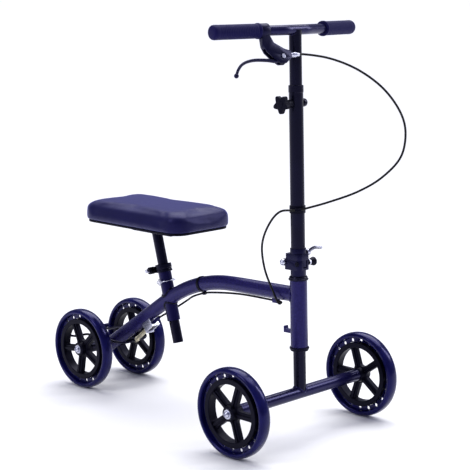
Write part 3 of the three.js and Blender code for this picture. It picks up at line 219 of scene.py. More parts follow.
BLUE_SHINE = (0.34, 0.32, 1.0, 1)
vein_coat = finish("vein_powder_coat", (0.004, 0.003, 0.030), 0.3, Specular_IOR_Level=0.5,
                   Specular_Tint=BLUE_SHINE)
cells = texture(vein_coat, "ShaderNodeTexVoronoi", 420, feature="DISTANCE_TO_EDGE")
specks = texture(vein_coat, "ShaderNodeTexNoise", 900, Detail=3)
tinted(vein_coat, cells.outputs["Distance"], [
    (0.0, (0.020, 0.016, 0.110)), (0.2, (0.003, 0.002, 0.024)), (1.0, (0.0015, 0.001, 0.012))])
bumped(vein_coat, cells.outputs["Distance"], 0.35, 0.0005)
bumped(vein_coat, specks.outputs["Fac"], 0.2, 0.0002)
ranged(vein_coat, specks.outputs["Fac"], "Roughness", 0.18, 0.34)


def smooth_line(points, steps):
    """A centripetal Catmull-Rom line through the points, with so many steps between each two."""
    pts = [Vector(p) for p in points]
    pts = [2 * pts[0] - pts[1], *pts, 2 * pts[-1] - pts[-2]]
    line = []
    for p0, p1, p2, p3 in zip(pts, pts[1:], pts[2:], pts[3:]):
        d0, d1, d2 = (math.sqrt(max((b - a).length, 1e-9)) for a, b in ((p0, p1), (p1, p2), (p2, p3)))
        m1 = ((p1 - p0) / d0 - (p2 - p0) / (d0 + d1) + (p2 - p1) / d1) * d1
        m2 = ((p2 - p1) / d1 - (p3 - p1) / (d1 + d2) + (p3 - p2) / d2) * d1
        for k in range(steps):
            t = k / steps
            line.append(
                p1 * (2 * t**3 - 3 * t**2 + 1)
                + m1 * (t**3 - 2 * t**2 + t)
                + p2 * (3 * t**2 - 2 * t**3)
                + m2 * (t**3 - t**2)
            )
    line.append(pts[-2])
    return line


def sweep(line, radius, sides=32, side=None):
    """A round or oval bar along a line. radius is a number, or a function of the share along
    the line that gives the half sizes along and across the starting side direction."""
    count = len(line)
    tangents = [(line[min(i + 1, count - 1)] - line[max(i - 1, 0)]).normalized() for i in range(count)]
    across = Vector(side) if side else tangents[0].orthogonal()
    across = (across - tangents[0] * across.dot(tangents[0])).normalized()
    verts, faces = [], []
    for i, (point, tangent) in enumerate(zip(line, tangents)):
        if i:
            across = tangents[i - 1].rotation_difference(tangent) @ across
            across = (across - tangent * across.dot(tangent)).normalized()
        other = tangent.cross(across)
        a, b = radius(i / (count - 1)) if callable(radius) else (radius, radius)
        for k in range(sides):
            angle = 2 * math.pi * k / sides
            verts.append(point + across * (a * math.cos(angle)) + other * (b * math.sin(angle)))
    for i in range(count - 1):
        for k in range(sides):
            n = (k + 1) % sides
            faces.append((i * sides + k, i * sides + n, (i + 1) * sides + n, (i + 1) * sides + k))
    faces.append(tuple(reversed(range(sides))))
    faces.append(tuple((count - 1) * sides + k for k in range(sides)))
    return verts, faces


def together(shapes):
    """Several closed shapes as one list of corners and faces."""
    verts, faces = [], []
    for shape_verts, shape_faces in shapes:
        start = len(verts)
        verts.extend(shape_verts)
        faces.extend(tuple(start + i for i in face) for face in shape_faces)
    return verts, faces


def as_object(name, shape):
    """A new object from a closed shape, its faces pointing out."""
    mesh = bpy.data.meshes.new(name)
    mesh.from_pydata([tuple(v) for v in shape[0]], [], shape[1])
    work = bmesh.new()
    work.from_mesh(mesh)
    bmesh.ops.recalc_face_normals(work, faces=work.faces)
    work.to_mesh(mesh)
    work.free()
    made = bpy.data.objects.new(name, mesh)
    scene.collection.objects.link(made)
    return made


def soft_edges(target, width, angle):
    bevel = target.modifiers.new("soft_edges", "BEVEL")
    bevel.width = width
    bevel.segments = 2
    bevel.limit_method = "ANGLE"
    bevel.angle_limit = math.radians(angle)
    return bevel


def piece(name, shapes, material, body, stands_for=(), soften=0.0, sharp=32):
    """Makes one piece from closed shapes, softens its edges and fixes it to its body."""
    made = as_object(name, together(shapes))
    made.data.shade_smooth()
    made.data.set_sharp_from_angle(angle=math.radians(sharp))
    made.data.materials.append(material)
    if soften:
        soft_edges(made, soften, 38).harden_normals = True
    if body:
        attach(made, body)
    if stands_for:
        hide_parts(*stands_for)
    return made


BACKBONE_RADIUS = 0.0175
BACKBONE_BEND = 0.4
backbone_start = Vector((0, front_axle.y + 0.008, 0.323))
backbone_end = Vector((0, rear_axle.y, rear_axle.z - 0.006))
front_slope, rear_slope = math.radians(1.5), math.radians(34.5)


def heading(angle):
    return Vector((0, math.cos(angle), -math.sin(angle)))


def upward(angle):
    return Vector((0, math.sin(angle), math.cos(angle)))


def backbone_points():
    rise = backbone_end - backbone_start
    f, r = heading(front_slope), heading(rear_slope)
    reach = (rise.y * r.z - rise.z * r.y) / (f.y * r.z - f.z * r.y)
    bend_start = backbone_start + f * (reach - BACKBONE_BEND * math.tan((rear_slope - front_slope) / 2))
    middle = bend_start - upward(front_slope) * BACKBONE_BEND
    points = [backbone_start, backbone_start.lerp(bend_start, 0.5)]
    for i in range(7):
        points.append(middle + upward(front_slope + (rear_slope - front_slope) * i / 6) * BACKBONE_BEND)
    return [*points, points[-1].lerp(backbone_end, 0.5), backbone_end]


backbone = smooth_line(backbone_points(), 8)


def on_backbone(y):
    """The point of the tube's centre line at y, and the line's slope there."""
    for a, b in zip(backbone, backbone[1:]):
        if a.y <= y <= b.y or b is backbone[-1]:
            place = a.lerp(b, (y - a.y) / (b.y - a.y))
            return place, math.atan2(b.z - a.z, b.y - a.y)


tube_verts, tube_faces = sweep(backbone, BACKBONE_RADIUS, 48)
last_ring = len(tube_verts) - 48
direction = heading(rear_slope)
for i in range(last_ring, len(tube_verts)):
    tube_verts[i] += direction * ((rear_axle.y - 0.001 - tube_verts[i].y) / direction.y)
piece("backbone", [(tube_verts, tube_faces)], vein_coat, "frame", ["main_tube"],
      soften=0.0006)


def bead(points, name, material, body, size=0.0022):
    """A weld bead: a closed rippled cord of metal along a joint."""
    ripples = len(points) // 2
    closed = [*points, points[0]]
    width = lambda t: (size * (1 + 0.16 * math.sin(2 * math.pi * ripples * t)),) * 2
    return piece(name, [sweep(closed, width, 12)], material, body)


def circle(radius, count=72):
    """Points round a circle in the XY plane."""
    return [(radius * math.cos(math.tau * i / count),
             radius * math.sin(math.tau * i / count)) for i in range(count)]


# ---------------------------------------------------------------- head tube and its cups
# The head tube carries the steering bearings. It leans back a little, has a bag hook welded
# behind it and a pressed black cup at each end.

LEAN = Matrix.Rotation(math.radians(-1.6), 4, "X")
steer = Matrix.Translation(front_axle) @ LEAN  # local Z is the steering axis, from the axle up
HEAD_RADIUS = 0.0195
HEAD_LOW, HEAD_HIGH = 0.1055, 0.2575


def turn(profile, place, steps=64):
    """A turned shape. The profile is a list of (radius, height) that closes on itself or on
    the axis."""
    verts, faces, rings = [], [], []
    for radius, height in profile:
        if radius < 1e-7:
            rings.append([len(verts)] * steps)
            verts.append(place @ Vector((0, 0, height)))
            continue
        rings.append(list(range(len(verts), len(verts) + steps)))
        for k in range(steps):
            angle = 2 * math.pi * k / steps
            verts.append(place @ Vector((radius * math.cos(angle), radius * math.sin(angle), height)))
    pairs = list(zip(rings, rings[1:]))
    if profile[0][0] > 1e-7 or profile[-1][0] > 1e-7:
        pairs.append((rings[-1], rings[0]))
    for low, high in pairs:
        for k in range(steps):
            n = (k + 1) % steps
            corners = list(dict.fromkeys((low[k], low[n], high[n], high[k])))
            if len(corners) > 2:
                faces.append(tuple(corners))
    return verts, faces


def pipe(inner, outer, low, high, place, steps=64):
    return turn([(inner, low), (outer, low), (outer, high), (inner, high)], place, steps)


def pin(radius, half, place, steps=24):
    return pipe(0, radius, -half, half, place, steps)


def mirrored(side):
    """A profile from one half of it, which ends at the middle or beside it."""
    return [*side, *[(r, -x) for r, x in reversed(side) if x]]


def prism(outline, low, high, place):
    """A flat outline with thickness. The outline lies in the local XY plane."""
    count = len(outline)
    verts = [place @ Vector((x, y, z)) for z in (low, high) for x, y in outline]
    faces = [tuple(reversed(range(count))), tuple(range(count, 2 * count))]
    for i in range(count):
        n = (i + 1) % count
        faces.append((i, n, count + n, count + i))
    return verts, faces


def rounded(corners, radius, steps=5):
    """An outline with its corners rounded."""
    outline = []
    count = len(corners)
    for i in range(count):
        here = Vector(corners[i])
        before = (Vector(corners[i - 1]) - here)
        after = (Vector(corners[(i + 1) % count]) - here)
        reach = min(radius, before.length * 0.45, after.length * 0.45)
        a, b = here + before.normalized() * reach, here + after.normalized() * reach
        for k in range(steps + 1):
            t = k / steps
            point = a * (1 - t) ** 2 + here * (2 * t * (1 - t)) + b * t * t
            outline.append((point.x, point.y))
    return outline


def coating(name, clouds, gloss, shades, grain, metallic=0.0, **sockets):
    """A finish whose roughness and shade drift with slow clouds of noise (scale, detail), with
    fine bumps of grain, each (scale, detail, strength, height)."""
    material = finish(name, shades[0][1], gloss[0], metallic, **sockets)
    slow = texture(material, "ShaderNodeTexNoise", clouds[0], Detail=clouds[1]).outputs["Fac"]
    ranged(material, slow, "Roughness", *gloss)
    if len(shades) > 1:
        tinted(material, slow, shades)
    for scale, detail, strength, height in grain:
        fine = texture(material, "ShaderNodeTexNoise", scale, Detail=detail)
        bumped(material, fine.outputs["Fac"], strength, height)
    return material


BLACK_SHINE = (0.5, 0.48, 1.0, 1)
gloss_black = coating("gloss_black_enamel", (22, 4), (0.16, 0.34),
                      [(0.3, (0.0015, 0.0015, 0.004)), (0.7, (0.003, 0.003, 0.010))],
                      [(260, 2, 0.05, 0.0004)], Specular_IOR_Level=0.22, Specular_Tint=BLACK_SHINE)

head_shapes = [turn([
    (0.0165, HEAD_LOW), (HEAD_RADIUS, HEAD_LOW), (HEAD_RADIUS, HEAD_HIGH), (0.0165, HEAD_HIGH),
], steer)]
HOOK_HEIGHT = HEAD_LOW + 0.028
hook_side = rounded([
    (HEAD_RADIUS - 0.003, HOOK_HEIGHT), (0.042, HOOK_HEIGHT), (0.042, HOOK_HEIGHT + 0.015),
    (0.038, HOOK_HEIGHT + 0.015), (0.037, HOOK_HEIGHT + 0.008), (HEAD_RADIUS - 0.003, HOOK_HEIGHT + 0.008),
], 0.0012, 2)
SIDEWAYS = Matrix(((0, 0, 1, 0), (1, 0, 0, 0), (0, 1, 0, 0),
                   (0, 0, 0, 1)))  # outline in YZ, thickness along X
UPRIGHT = Matrix(((1, 0, 0, 0), (0, 0, -1, 0), (0, 1, 0, 0),
                  (0, 0, 0, 1)))  # outline in XZ, thickness along Y
head_shapes.append(prism(hook_side, -0.006, 0.006, steer @ SIDEWAYS))
piece("steering_head", head_shapes, vein_coat, "frame", ["head_tube"], soften=0.0008)

joint_ring = []
for x, up in circle(BACKBONE_RADIUS):
    height = backbone_start.z + up
    axis_y = (steer @ Vector((0, 0, height - front_axle.z))).y
    joint_ring.append(Vector((x, axis_y + math.sqrt(HEAD_RADIUS**2 - x**2) + 0.0006, height)))
bead(joint_ring, "head_weld", vein_coat, "frame", 0.0026)

for name, face, way in (("lower_cup", HEAD_LOW, -1), ("upper_cup", HEAD_HIGH, 1)):
    profile = [
        (0.0148, face - way * 0.004), (0.0162, face - way * 0.004), (0.0162, face + way * 0.0003),
        (0.022, face + way * 0.0003), (0.0224, face + way * 0.0012), (0.0224, face + way * 0.0034),
        (0.0212, face + way * 0.0045), (0.0204, face + way * 0.0048), (0.0208, face + way * 0.0066),
        (0.0196, face + way * 0.0086), (0.0148, face + way * 0.009),
    ]
    piece(name, [turn(profile, steer)], gloss_black, "frame", [f"headset_{name}"],
          soften=0.0003)

# ---------------------------------------------------------------- front axle tube and steerer
# A 28 mm tube crosses between the front wheels, and the steerer stands on its middle in a
# fillet weld. Both are smooth gloss navy, darker up the steerer.

gloss_navy = coating("gloss_navy_enamel", (18, 4), (0.15, 0.32),
                     [(0.3, (0.003, 0.0025, 0.022)), (0.7, (0.006, 0.005, 0.040))],
                     [(240, 2, 0.06, 0.0004)], Specular_IOR_Level=0.42, Specular_Tint=BLUE_SHINE)


def axle_tube(radius, half):
    """A cross tube with pressed-in end plugs, each bored for its wheel's bolt."""
    bore = 0.0043
    plug = half - 0.028
    return [
        (bore, -half), (radius - 0.003, -half), (radius - 0.0022, 0.0006 - half), (radius, 0.0006 - half),
        (radius, half - 0.0006), (radius - 0.0022, half - 0.0006), (radius - 0.003, half), (bore, half),
        (bore, plug), (radius - 0.0025, plug - 0.004), (radius - 0.0025, 0.004 - plug), (bore, -plug),
    ]


crossbar_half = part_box("front_crossbar")[1].x
piece("front_axle_tube", [turn(axle_tube(0.014, crossbar_half), steer @ TO_X)], gloss_navy,
      "steering_fork", ["front_crossbar"], soften=0.0004)

STEERER_RADIUS = 0.014
HINGE_BASE = HEAD_HIGH + 0.0095
saddle = [steer @ Vector((x, y, math.sqrt(max(0.0142**2 - y**2, 0)) + 0.0004)) for x,
          y in circle(STEERER_RADIUS)]
piece("steerer", [pipe(0.011, STEERER_RADIUS, 0.006, HINGE_BASE + 0.012, steer)], gloss_black,
      "steering_fork", ["steerer_tube"])
bead(saddle, "steerer_weld", gloss_navy, "steering_fork", 0.0028)

# ---------------------------------------------------------------- wheels
# Four alike 200 mm wheels: a black moulded five-spoke core, a dark blue polyurethane tyre whose
# tread stands on a thin web with a ring of holes, two shielded bearings and a domed axle bolt.

TYRE_RADIUS = 0.1
WINDOW_RADIUS = 0.064
RIM_RADIUS = 0.076
HOLES = 20
HOLE_RADIUS = 0.0041

moulded_black = coating("moulded_black_nylon", (35, 3), (0.34, 0.52), [(0, (0.002, 0.002, 0.005))],
                        [(1600, 2, 0.25, 0.0002)], Specular_IOR_Level=0.12, Specular_Tint=BLACK_SHINE)

clear_blue = coating("clear_blue_polyurethane", (30, 5), (0.12, 0.3),
                     [(0.3, (0.0028, 0.0028, 0.034)), (0.7, (0.0065, 0.0065, 0.075))],
                     [(700, 2, 0.06, 0.0003)], Specular_IOR_Level=0.35, Specular_Tint=BLUE_SHINE,
                     Subsurface_Weight=0.2, Subsurface_Scale=0.008, Transmission_Weight=0.08, IOR=1.5)
clear_blue.node_tree.nodes["Principled BSDF"].inputs["Subsurface Radius"].default_value = (0.2, 0.3, 1.0)

bright_zinc = coating("bright_zinc_plate", (500, 4), (0.16, 0.4), [(0, (0.56, 0.57, 0.68))], [], 1.0)
crystals = texture(bright_zinc, "ShaderNodeTexVoronoi", 300)
bumped(bright_zinc, crystals.outputs["Distance"], 0.04, 0.0003)


def evaluated_mesh(target):
    """A new mesh of the object as its modifiers leave it."""
    bpy.context.view_layer.update()
    return bpy.data.meshes.new_from_object(target.evaluated_get(bpy.context.evaluated_depsgraph_get()))


def web_shape():
    """The flat five-spoke web: a disc with five round-cornered windows and moulded edges."""
    flat = bpy.data.curves.new("web", "CURVE")
    flat.dimensions = "2D"
    flat.fill_mode = "BOTH"
    flat.extrude = 0.005
    flat.bevel_depth = 0.0018
    flat.bevel_resolution = 2
    flat.offset = -0.0018

    def add(points):
        spline = flat.splines.new("POLY")
        spline.points.add(len(points) - 1)
        for target, (x, y) in zip(spline.points, points):
            target.co = (x, y, 0, 1)
        spline.use_cyclic_u = True

    add(circle(0.068, 90))
    for s in range(5):
        middle = math.tau * (s + 0.5) / 5
        half = math.radians(36)
        inner, outer = 0.0215, WINDOW_RADIUS
        root, tip = 0.0080, 0.0082  # half widths of a spoke at the hub and at the rim
        corners = []
        for k in range(9):
            a = (half - math.asin(tip / outer)) * (1 - k / 4)
            corners.append((outer * math.cos(a), outer * math.sin(a)))
        low = half - math.asin(root / inner)
        corners.append((inner * math.cos(-low), inner * math.sin(-low)))
        corners.append((inner * math.cos(low), inner * math.sin(low)))
        c, d = math.cos(middle), math.sin(middle)
        add([(x * c - y * d, x * d + y * c) for x, y in rounded(corners, 0.009, 4)])
    shape = bpy.data.objects.new("web", flat)
    scene.collection.objects.link(shape)
    work = bmesh.new()
    work.from_mesh(evaluated_mesh(shape))
    bmesh.ops.remove_doubles(work, verts=work.verts, dist=1e-6)
    verts = [v.co.copy() for v in work.verts]
    faces = [tuple(v.index for v in f.verts) for f in work.faces]
    work.free()
    bpy.data.objects.remove(shape)
    return verts, faces


def cut(shape, tools):
    """A closed shape with other closed shapes taken out of it."""
    whole, tool = as_object("cut", shape), as_object("cut", tools)
    boolean = whole.modifiers.new("cut", "BOOLEAN")
    boolean.operation = "DIFFERENCE"
    boolean.solver = "EXACT"
    boolean.object = tool
    result = evaluated_mesh(whole)
    shape = [v.co.copy() for v in result.vertices], [tuple(p.vertices) for p in result.polygons]
    for thing in (whole, tool):
        bpy.data.objects.remove(thing)
    return shape


def moved(shape, place):
    verts, faces = shape
    return [place @ Vector(v) for v in verts], faces


FLAT = Matrix.Identity(4)
tyre_side = [(RIM_RADIUS + 0.0003, 0.0016), (0.0860, 0.0016), (0.0868, 0.0022), (0.0872, 0.0034),
             (0.0876, 0.0110),
             (0.0882, 0.0134), (0.0896, 0.0147), (0.0915, 0.0150), (0.0945, 0.0144), (0.0968, 0.0128),
             (0.0985, 0.0100), (0.0996, 0.0058), (TYRE_RADIUS, 0.0)]
hole_pins = together([
    pin(HOLE_RADIUS, 0.02, Matrix.Rotation(math.tau * i / HOLES, 4,
                                           "Z") @ Matrix.Translation((0.0815, 0, 0)), 20)
    for i in range(HOLES)
])
tyre_shape = cut(turn(mirrored(tyre_side), FLAT, 96), hole_pins)
rim_side = [(0.0638, 0.0108), (0.0650, 0.0119), (0.0748, 0.0119), (RIM_RADIUS, 0.0110)]
hub_side = [(0.0110, 0.0170), (0.0150, 0.0170), (0.0166, 0.0158), (0.0172, 0.0120), (0.0190, 0.0060)]
core_shapes = [web_shape(), turn(mirrored(rim_side), FLAT, 96), turn(mirrored(hub_side), FLAT, 48)]
for s in range(5):
    spoke_turn = Matrix.Rotation(math.tau * s / 5, 4, "Z")
    rib = [(0.016, -0.0019), (0.066, -0.0026), (0.066, 0.0026), (0.016, 0.0019)]
    core_shapes.append(prism(rib, -0.0095, 0.0095, spoke_turn))
bearing_side = [(0.0043, 0.0158), (0.0062, 0.0158), (0.0064, 0.0151), (0.0090, 0.0151), (0.0092, 0.0158),
                (0.0107, 0.0158), (0.0107, 0.0090), (0.0060, 0.0090)]
FACE = 0.0175
washer = pipe(0.0044, 0.0103, FACE, FACE + 0.0014, FLAT, 40)
dome = [(0, FACE - 0.028), (0.004, FACE - 0.028), (0.004, FACE + 0.0014), (0.0072, FACE + 0.0014),
        (0.0074, FACE + 0.0030), (0.0070, FACE + 0.0048), (0.0058, FACE + 0.0064), (0.0036, FACE + 0.0076),
        (0.0026, FACE + 0.0078), (0.0026, FACE + 0.0052), (0, FACE + 0.0052)]
wheel_phase = {"front_left": 18, "front_right": 126, "rear_left": 90, "rear_right": 98}
for corner, phase in wheel_phase.items():
    centre = Vector(joint[f"{corner}_wheel_spin"]["pos_m"])
    outward = 1 if centre.x > 0 else -1
    hub = Matrix.Translation(centre) @ Matrix.Rotation(math.radians(90 * outward), 4, "Y")
    turned_hub = hub @ Matrix.Rotation(math.radians(phase), 4, "Z")
    body = f"{corner}_wheel"
    piece(f"{corner}_core", [moved(s, turned_hub) for s in core_shapes], moulded_black, body,
          [f"{corner}_wheel_core"], soften=0.0005)
    piece(f"{corner}_tyre", [moved(tyre_shape, turned_hub)], clear_blue, body,
          [f"{corner}_wheel_tyre"], sharp=40)
    piece(f"{corner}_bearings", [turn(mirrored(bearing_side), hub, 40)], bright_zinc, body,
          [f"{corner}_wheel_bearings"])
    piece(f"{corner}_bolt", [moved(washer, hub), turn(dome, hub, 40)], bright_zinc,
          "steering_fork" if corner.startswith("front") else "frame",
          [f"{corner}_axle_bolt"], soften=0.0003)

# ---------------------------------------------------------------- rear cross tube
# A short 30 mm tube joins the rear wheels. The backbone is welded on its middle, and two
# slotted plates on top guide the arms of the brake bar.

ARM_X = 0.056
ARM_RISE = 0.026
rear_place = Matrix.Translation(rear_axle)
rear_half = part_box("rear_cross_tube")[1].x
rear_shapes = [turn(axle_tube(0.015, rear_half), rear_place @ TO_X)]
for side in (-1, 1):
    slot_half, slot_low, top = 0.0034, ARM_RISE - 0.0034, 0.036
    x0, x1 = side * ARM_X - 0.008, side * ARM_X + 0.008
    middle_x = side * ARM_X
    front_view = [(x0, 0.011), (x1, 0.011), (x1, top), (middle_x + slot_half, top),
                  (middle_x + slot_half, slot_low),
                  (middle_x - slot_half, slot_low), (middle_x - slot_half, top), (x0, top)]
    rear_shapes.append(prism(front_view, -0.0025, 0.0025, rear_place @ UPRIGHT))
piece("rear_axle_tube", rear_shapes, gloss_black, "frame", ["rear_cross_tube"],
      soften=0.0004)

# ---------------------------------------------------------------- seat socket, clamp and pins
# The seat post slides in a navy socket welded through the backbone. A snap pin with a wire
# keeper holds its height, and a lever clamp on top takes out the play.

pin_point = Vector(joint["snap_pin_swing"]["pos_m"])
POST_TILT = Matrix.Rotation(math.radians(-15.5), 4, "X")
post_place = Matrix.Translation(pin_point) @ POST_TILT @ Matrix.Translation((0, 0, 0.010))
SOCKET_LOW, SOCKET_HIGH = -0.107, 0.024
POST_RADIUS = 0.0127
SOCKET_RADIUS = 0.016
POST_LOW = SOCKET_LOW - 0.055
POST_HIGH = POST_LOW + 0.274
PIN_HEIGHT = -0.010

socket_shape = cut(pipe(0.013, SOCKET_RADIUS, SOCKET_LOW, SOCKET_HIGH, post_place),
                   pin(0.0033, 0.03, post_place @ Matrix.Translation((0, 0, PIN_HEIGHT)) @ TO_X))
piece("seat_sleeve", [socket_shape], gloss_navy, "frame", ["seat_socket"], soften=0.0005)


def socket_joint(up):
    """Where the sleeve meets the backbone's skin, above it or below it."""
    points = []
    for x, y in circle(SOCKET_RADIUS):
        foot = Vector((x, y, 0))
        low, high = (-0.075, -0.02) if up < 0 else (-0.045, 0.02)
        best = None
        for k in range(80):
            point = post_place @ (foot + Vector((0, 0, low + (high - low) * k / 79)))
            centre, slope = on_backbone(point.y)
            away = (point - centre) - Vector((0, math.cos(slope), math.sin(slope))) * (
                (point - centre).dot(Vector((0, math.cos(slope), math.sin(slope)))))
            miss = abs(away.length - BACKBONE_RADIUS)
            if (away.z > 0) == (up > 0) and (best is None or miss < best[0]):
                best = (miss, point)
        points.append(best[1])
    return points


bead(socket_joint(1), "socket_weld_upper", gloss_black, "frame", 0.003)
bead(socket_joint(-1), "socket_weld_lower", gloss_black, "frame", 0.0026)

# the post's row of height holes
hole_pins = together([
    pin(0.0034, 0.03, post_place @ Matrix.Translation((0, 0, PIN_HEIGHT - 0.0125 * k)) @ TO_X)
    for k in range(-2, 9)
])
post_shape = cut(pipe(0.0107, POST_RADIUS, POST_LOW, POST_HIGH, post_place), hole_pins)
piece("post", [post_shape], gloss_black, "seat", ["seat_post"], soften=0.0003)

CLAMP_LOW, CLAMP_HIGH = SOCKET_HIGH - 0.011, SOCKET_HIGH + 0.009
SCREW_BACK, SCREW_HEIGHT = 0.027, SOCKET_HIGH - 0.002
collar = turn([(0.0163, CLAMP_LOW), (0.0196, CLAMP_LOW), (0.0200, CLAMP_LOW + 0.0006),
               (0.0200, CLAMP_LOW + 0.0045),
               (0.0190, CLAMP_LOW + 0.0055), (0.0190, CLAMP_LOW + 0.0085), (0.0200, CLAMP_LOW + 0.0095),
               (0.0200, CLAMP_HIGH - 0.0012), (0.0190, CLAMP_HIGH), (0.0132, CLAMP_HIGH),
               (0.0132, SOCKET_HIGH + 0.0003),
               (0.0163, SOCKET_HIGH + 0.0003)], post_place)
ears = []
for side in (-1, 1):
    x0, x1 = sorted((side * 0.0016, side * 0.009))
    ear = rounded([(0.012, CLAMP_LOW + 0.001), (SCREW_BACK + 0.007, CLAMP_LOW + 0.001),
                   (SCREW_BACK + 0.007, CLAMP_HIGH - 0.003), (0.012, CLAMP_HIGH - 0.003)], 0.006)
    ears.append(prism(ear, x0, x1, post_place @ SIDEWAYS))
piece("post_clamp", [collar, *ears], gloss_black, "frame", ["seat_clamp"], soften=0.0006)

screw_place = post_place @ Matrix.Translation((0, SCREW_BACK, SCREW_HEIGHT))
thumb_nut = [(x * (1.1 if i % 8 < 4 else 0.9), y * (1.1 if i % 8 < 4 else 0.9))
             for i, (x, y) in enumerate(circle(0.0080, 96))]
piece("clamp_thumb_nut", [prism(thumb_nut, -0.025, -0.0095, screw_place @ TO_X)], moulded_black, "frame",
      ["seat_clamp_screw"], soften=0.0006)
piece("clamp_bolt", [turn([(0, -0.036), (0.0026, -0.036), (0.0042, -0.0345), (0.0045, -0.031),
                           (0.0045, -0.026),
                           (0.0030, -0.0255), (0.0030, 0.0095), (0, 0.0095)], screw_place @ TO_X, 32)],
      bright_zinc, "frame", soften=0.0003)

cam_centre = Vector((0.017, SCREW_BACK, SCREW_HEIGHT))
cam_line = smooth_line([cam_centre + Vector(p) for p in
                        ((0.001, 0, 0), (0.005, 0.012, -0.001), (0.005, 0.028, -0.002),
                         (0.002, 0.046, -0.003))], 8)
cam_line = [post_place @ p for p in cam_line]
cam = turn([(0.0021, -0.006), (0.0060, -0.006), (0.0065, -0.0054), (0.0065, 0.0054), (0.0060, 0.006),
            (0.0021, 0.006)],
           post_place @ Matrix.Translation(cam_centre), 40)
cam_pin = pin(0.0019, 0.0068, post_place @ Matrix.Translation(cam_centre))
piece("clamp_cam_lever", [cam, cam_pin, sweep(cam_line, lambda t: (0.0036 - 0.0006 * t, 0.0024), 24)],
      bright_zinc,
      "seat_clamp_lever", ["seat_clamp_lever"], soften=0.0004)

# the snap pin, its flat head and the wire that snaps round the socket
keeper = [post_place @ Vector((0.0215 * math.cos(a), 0.0215 * math.sin(a), PIN_HEIGHT))
          for a in (math.pi + math.pi * i / 40 for i in range(41))]
pin_place = post_place @ Matrix.Translation((0, 0, PIN_HEIGHT)) @ TO_X
pin_shape = turn([(0, -0.0245), (0.0020, -0.0245), (0.0030, -0.024), (0.0030, 0.0245), (0.0022, 0.026),
                  (0, 0.026)],
                 pin_place, 24)
diamond = [(-0.0092, 0), (0, -0.0070), (0.0092, 0), (0, 0.0070), (-0.0092, 0)]
head_wire = [post_place @ Vector((-0.0235, y, PIN_HEIGHT + z)) for y, z in diamond]
piece("snap_pin_wire", [pin_shape, sweep(keeper, 0.0013, 16), sweep(head_wire, 0.0013, 16)], bright_zinc,
      "snap_pin", ["snap_pin"])

# ---------------------------------------------------------------- seat plate, board and pad
# A pressed steel plate on the post carries a plastic board, and the foam pad is wrapped in
# navy vinyl that is pulled down over the board's edge and stapled underneath.

pad_low, pad_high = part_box("seat_pad")
board_low, board_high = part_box("seat_board")
plate_low, plate_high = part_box("seat_plate")
centre_y = (pad_low.y + pad_high.y) / 2

plate_outline = rounded([
    (plate_low.y, plate_high.z - 0.0005), (plate_low.y + 0.0165, plate_low.z),
    (plate_high.y - 0.024, plate_low.z), (plate_high.y, plate_high.z - 0.0005),
], 0.010)
piece("seat_pan", [prism(plate_outline, plate_low.x, plate_high.x, SIDEWAYS)], gloss_black, "seat",
      ["seat_plate"], soften=0.002)


def rectangle_ring(half_x, half_y, corner, z, count=18):
    """A rounded rectangle, evenly stepped, about the pad's centre."""
    points = []
    for cx, cy, start in ((1, 1, 0), (-1, 1, 90), (-1, -1, 180), (1, -1, 270)):
        for k in range(count):
            a = math.radians(start + 90 * k / (count - 1))
            points.append(Vector((cx * (half_x - corner) + corner * math.cos(a),
                                  centre_y + cy * (half_y - corner) + corner * math.sin(a), z)))
    return points


def loft(rings):
    """Joins equal rings into one closed skin, with the first and last ones filled in."""
    count = len(rings[0])
    verts = [p for ring in rings for p in ring]
    faces = [tuple(reversed(range(count))), tuple((len(rings) - 1) * count + k for k in range(count))]
    for i in range(len(rings) - 1):
        for k in range(count):
            n = (k + 1) % count
            faces.append((i * count + k, i * count + n, (i + 1) * count + n, (i + 1) * count + k))
    return verts, faces


half_x, half_y = (board_high.x - board_low.x) / 2, (board_high.y - board_low.y) / 2
board_rings = [rectangle_ring(half_x, half_y, 0.034, board_low.z),
               rectangle_ring(half_x, half_y, 0.034, board_high.z)]
piece("pad_board", [loft(board_rings)], moulded_black, "seat", ["seat_board"], soften=0.001)

navy_vinyl = finish("navy_vinyl", (0.004, 0.003, 0.034), 0.42, Specular_IOR_Level=0.4,
                    Specular_Tint=BLUE_SHINE,
                    Sheen_Weight=0.5, Sheen_Roughness=0.35, Sheen_Tint=(0.26, 0.27, 1.0, 1))
leather = texture(navy_vinyl, "ShaderNodeTexVoronoi", 520, feature="SMOOTH_F1")
creases = texture(navy_vinyl, "ShaderNodeTexNoise", 95, Detail=6, Roughness=0.6)
wear = texture(navy_vinyl, "ShaderNodeTexNoise", 14, Detail=4)
tinted(navy_vinyl, wear.outputs["Fac"], [(0.3, (0.003, 0.0025, 0.024)), (0.7, (0.005, 0.0045, 0.038))])
ranged(navy_vinyl, creases.outputs["Fac"], "Roughness", 0.36, 0.5)
bumped(navy_vinyl, leather.outputs["Distance"], 0.3, 0.0004)
bumped(navy_vinyl, creases.outputs["Fac"], 0.18, 0.0008)

PAD_X, PAD_Y = (pad_high.x - pad_low.x) / 2, (pad_high.y - pad_low.y) / 2
SIDE_HEIGHT = 0.036
pad_rings = []
for inset, height in ((0.012, 0.0), (0.0045, 0.0), (0.0030, 0.0015), (0.0028, 0.010), (0.0026, 0.020),
                      (0.0028, SIDE_HEIGHT - 0.008), (0.0042, SIDE_HEIGHT - 0.002),
                      (0.0085, SIDE_HEIGHT + 0.003),
                      (0.016, SIDE_HEIGHT + 0.0062), (0.030, SIDE_HEIGHT + 0.0088),
                      (0.050, SIDE_HEIGHT + 0.0104),
                      (0.075, SIDE_HEIGHT + 0.0110)):
    corner = max(0.042 - inset, 0.012)
    pad_rings.append(rectangle_ring(PAD_X - inset, PAD_Y - inset, corner, pad_low.z + height))
pad_verts, pad_faces = loft(pad_rings)
pad = piece("knee_pad", [(pad_verts, pad_faces)], navy_vinyl, None, sharp=180)


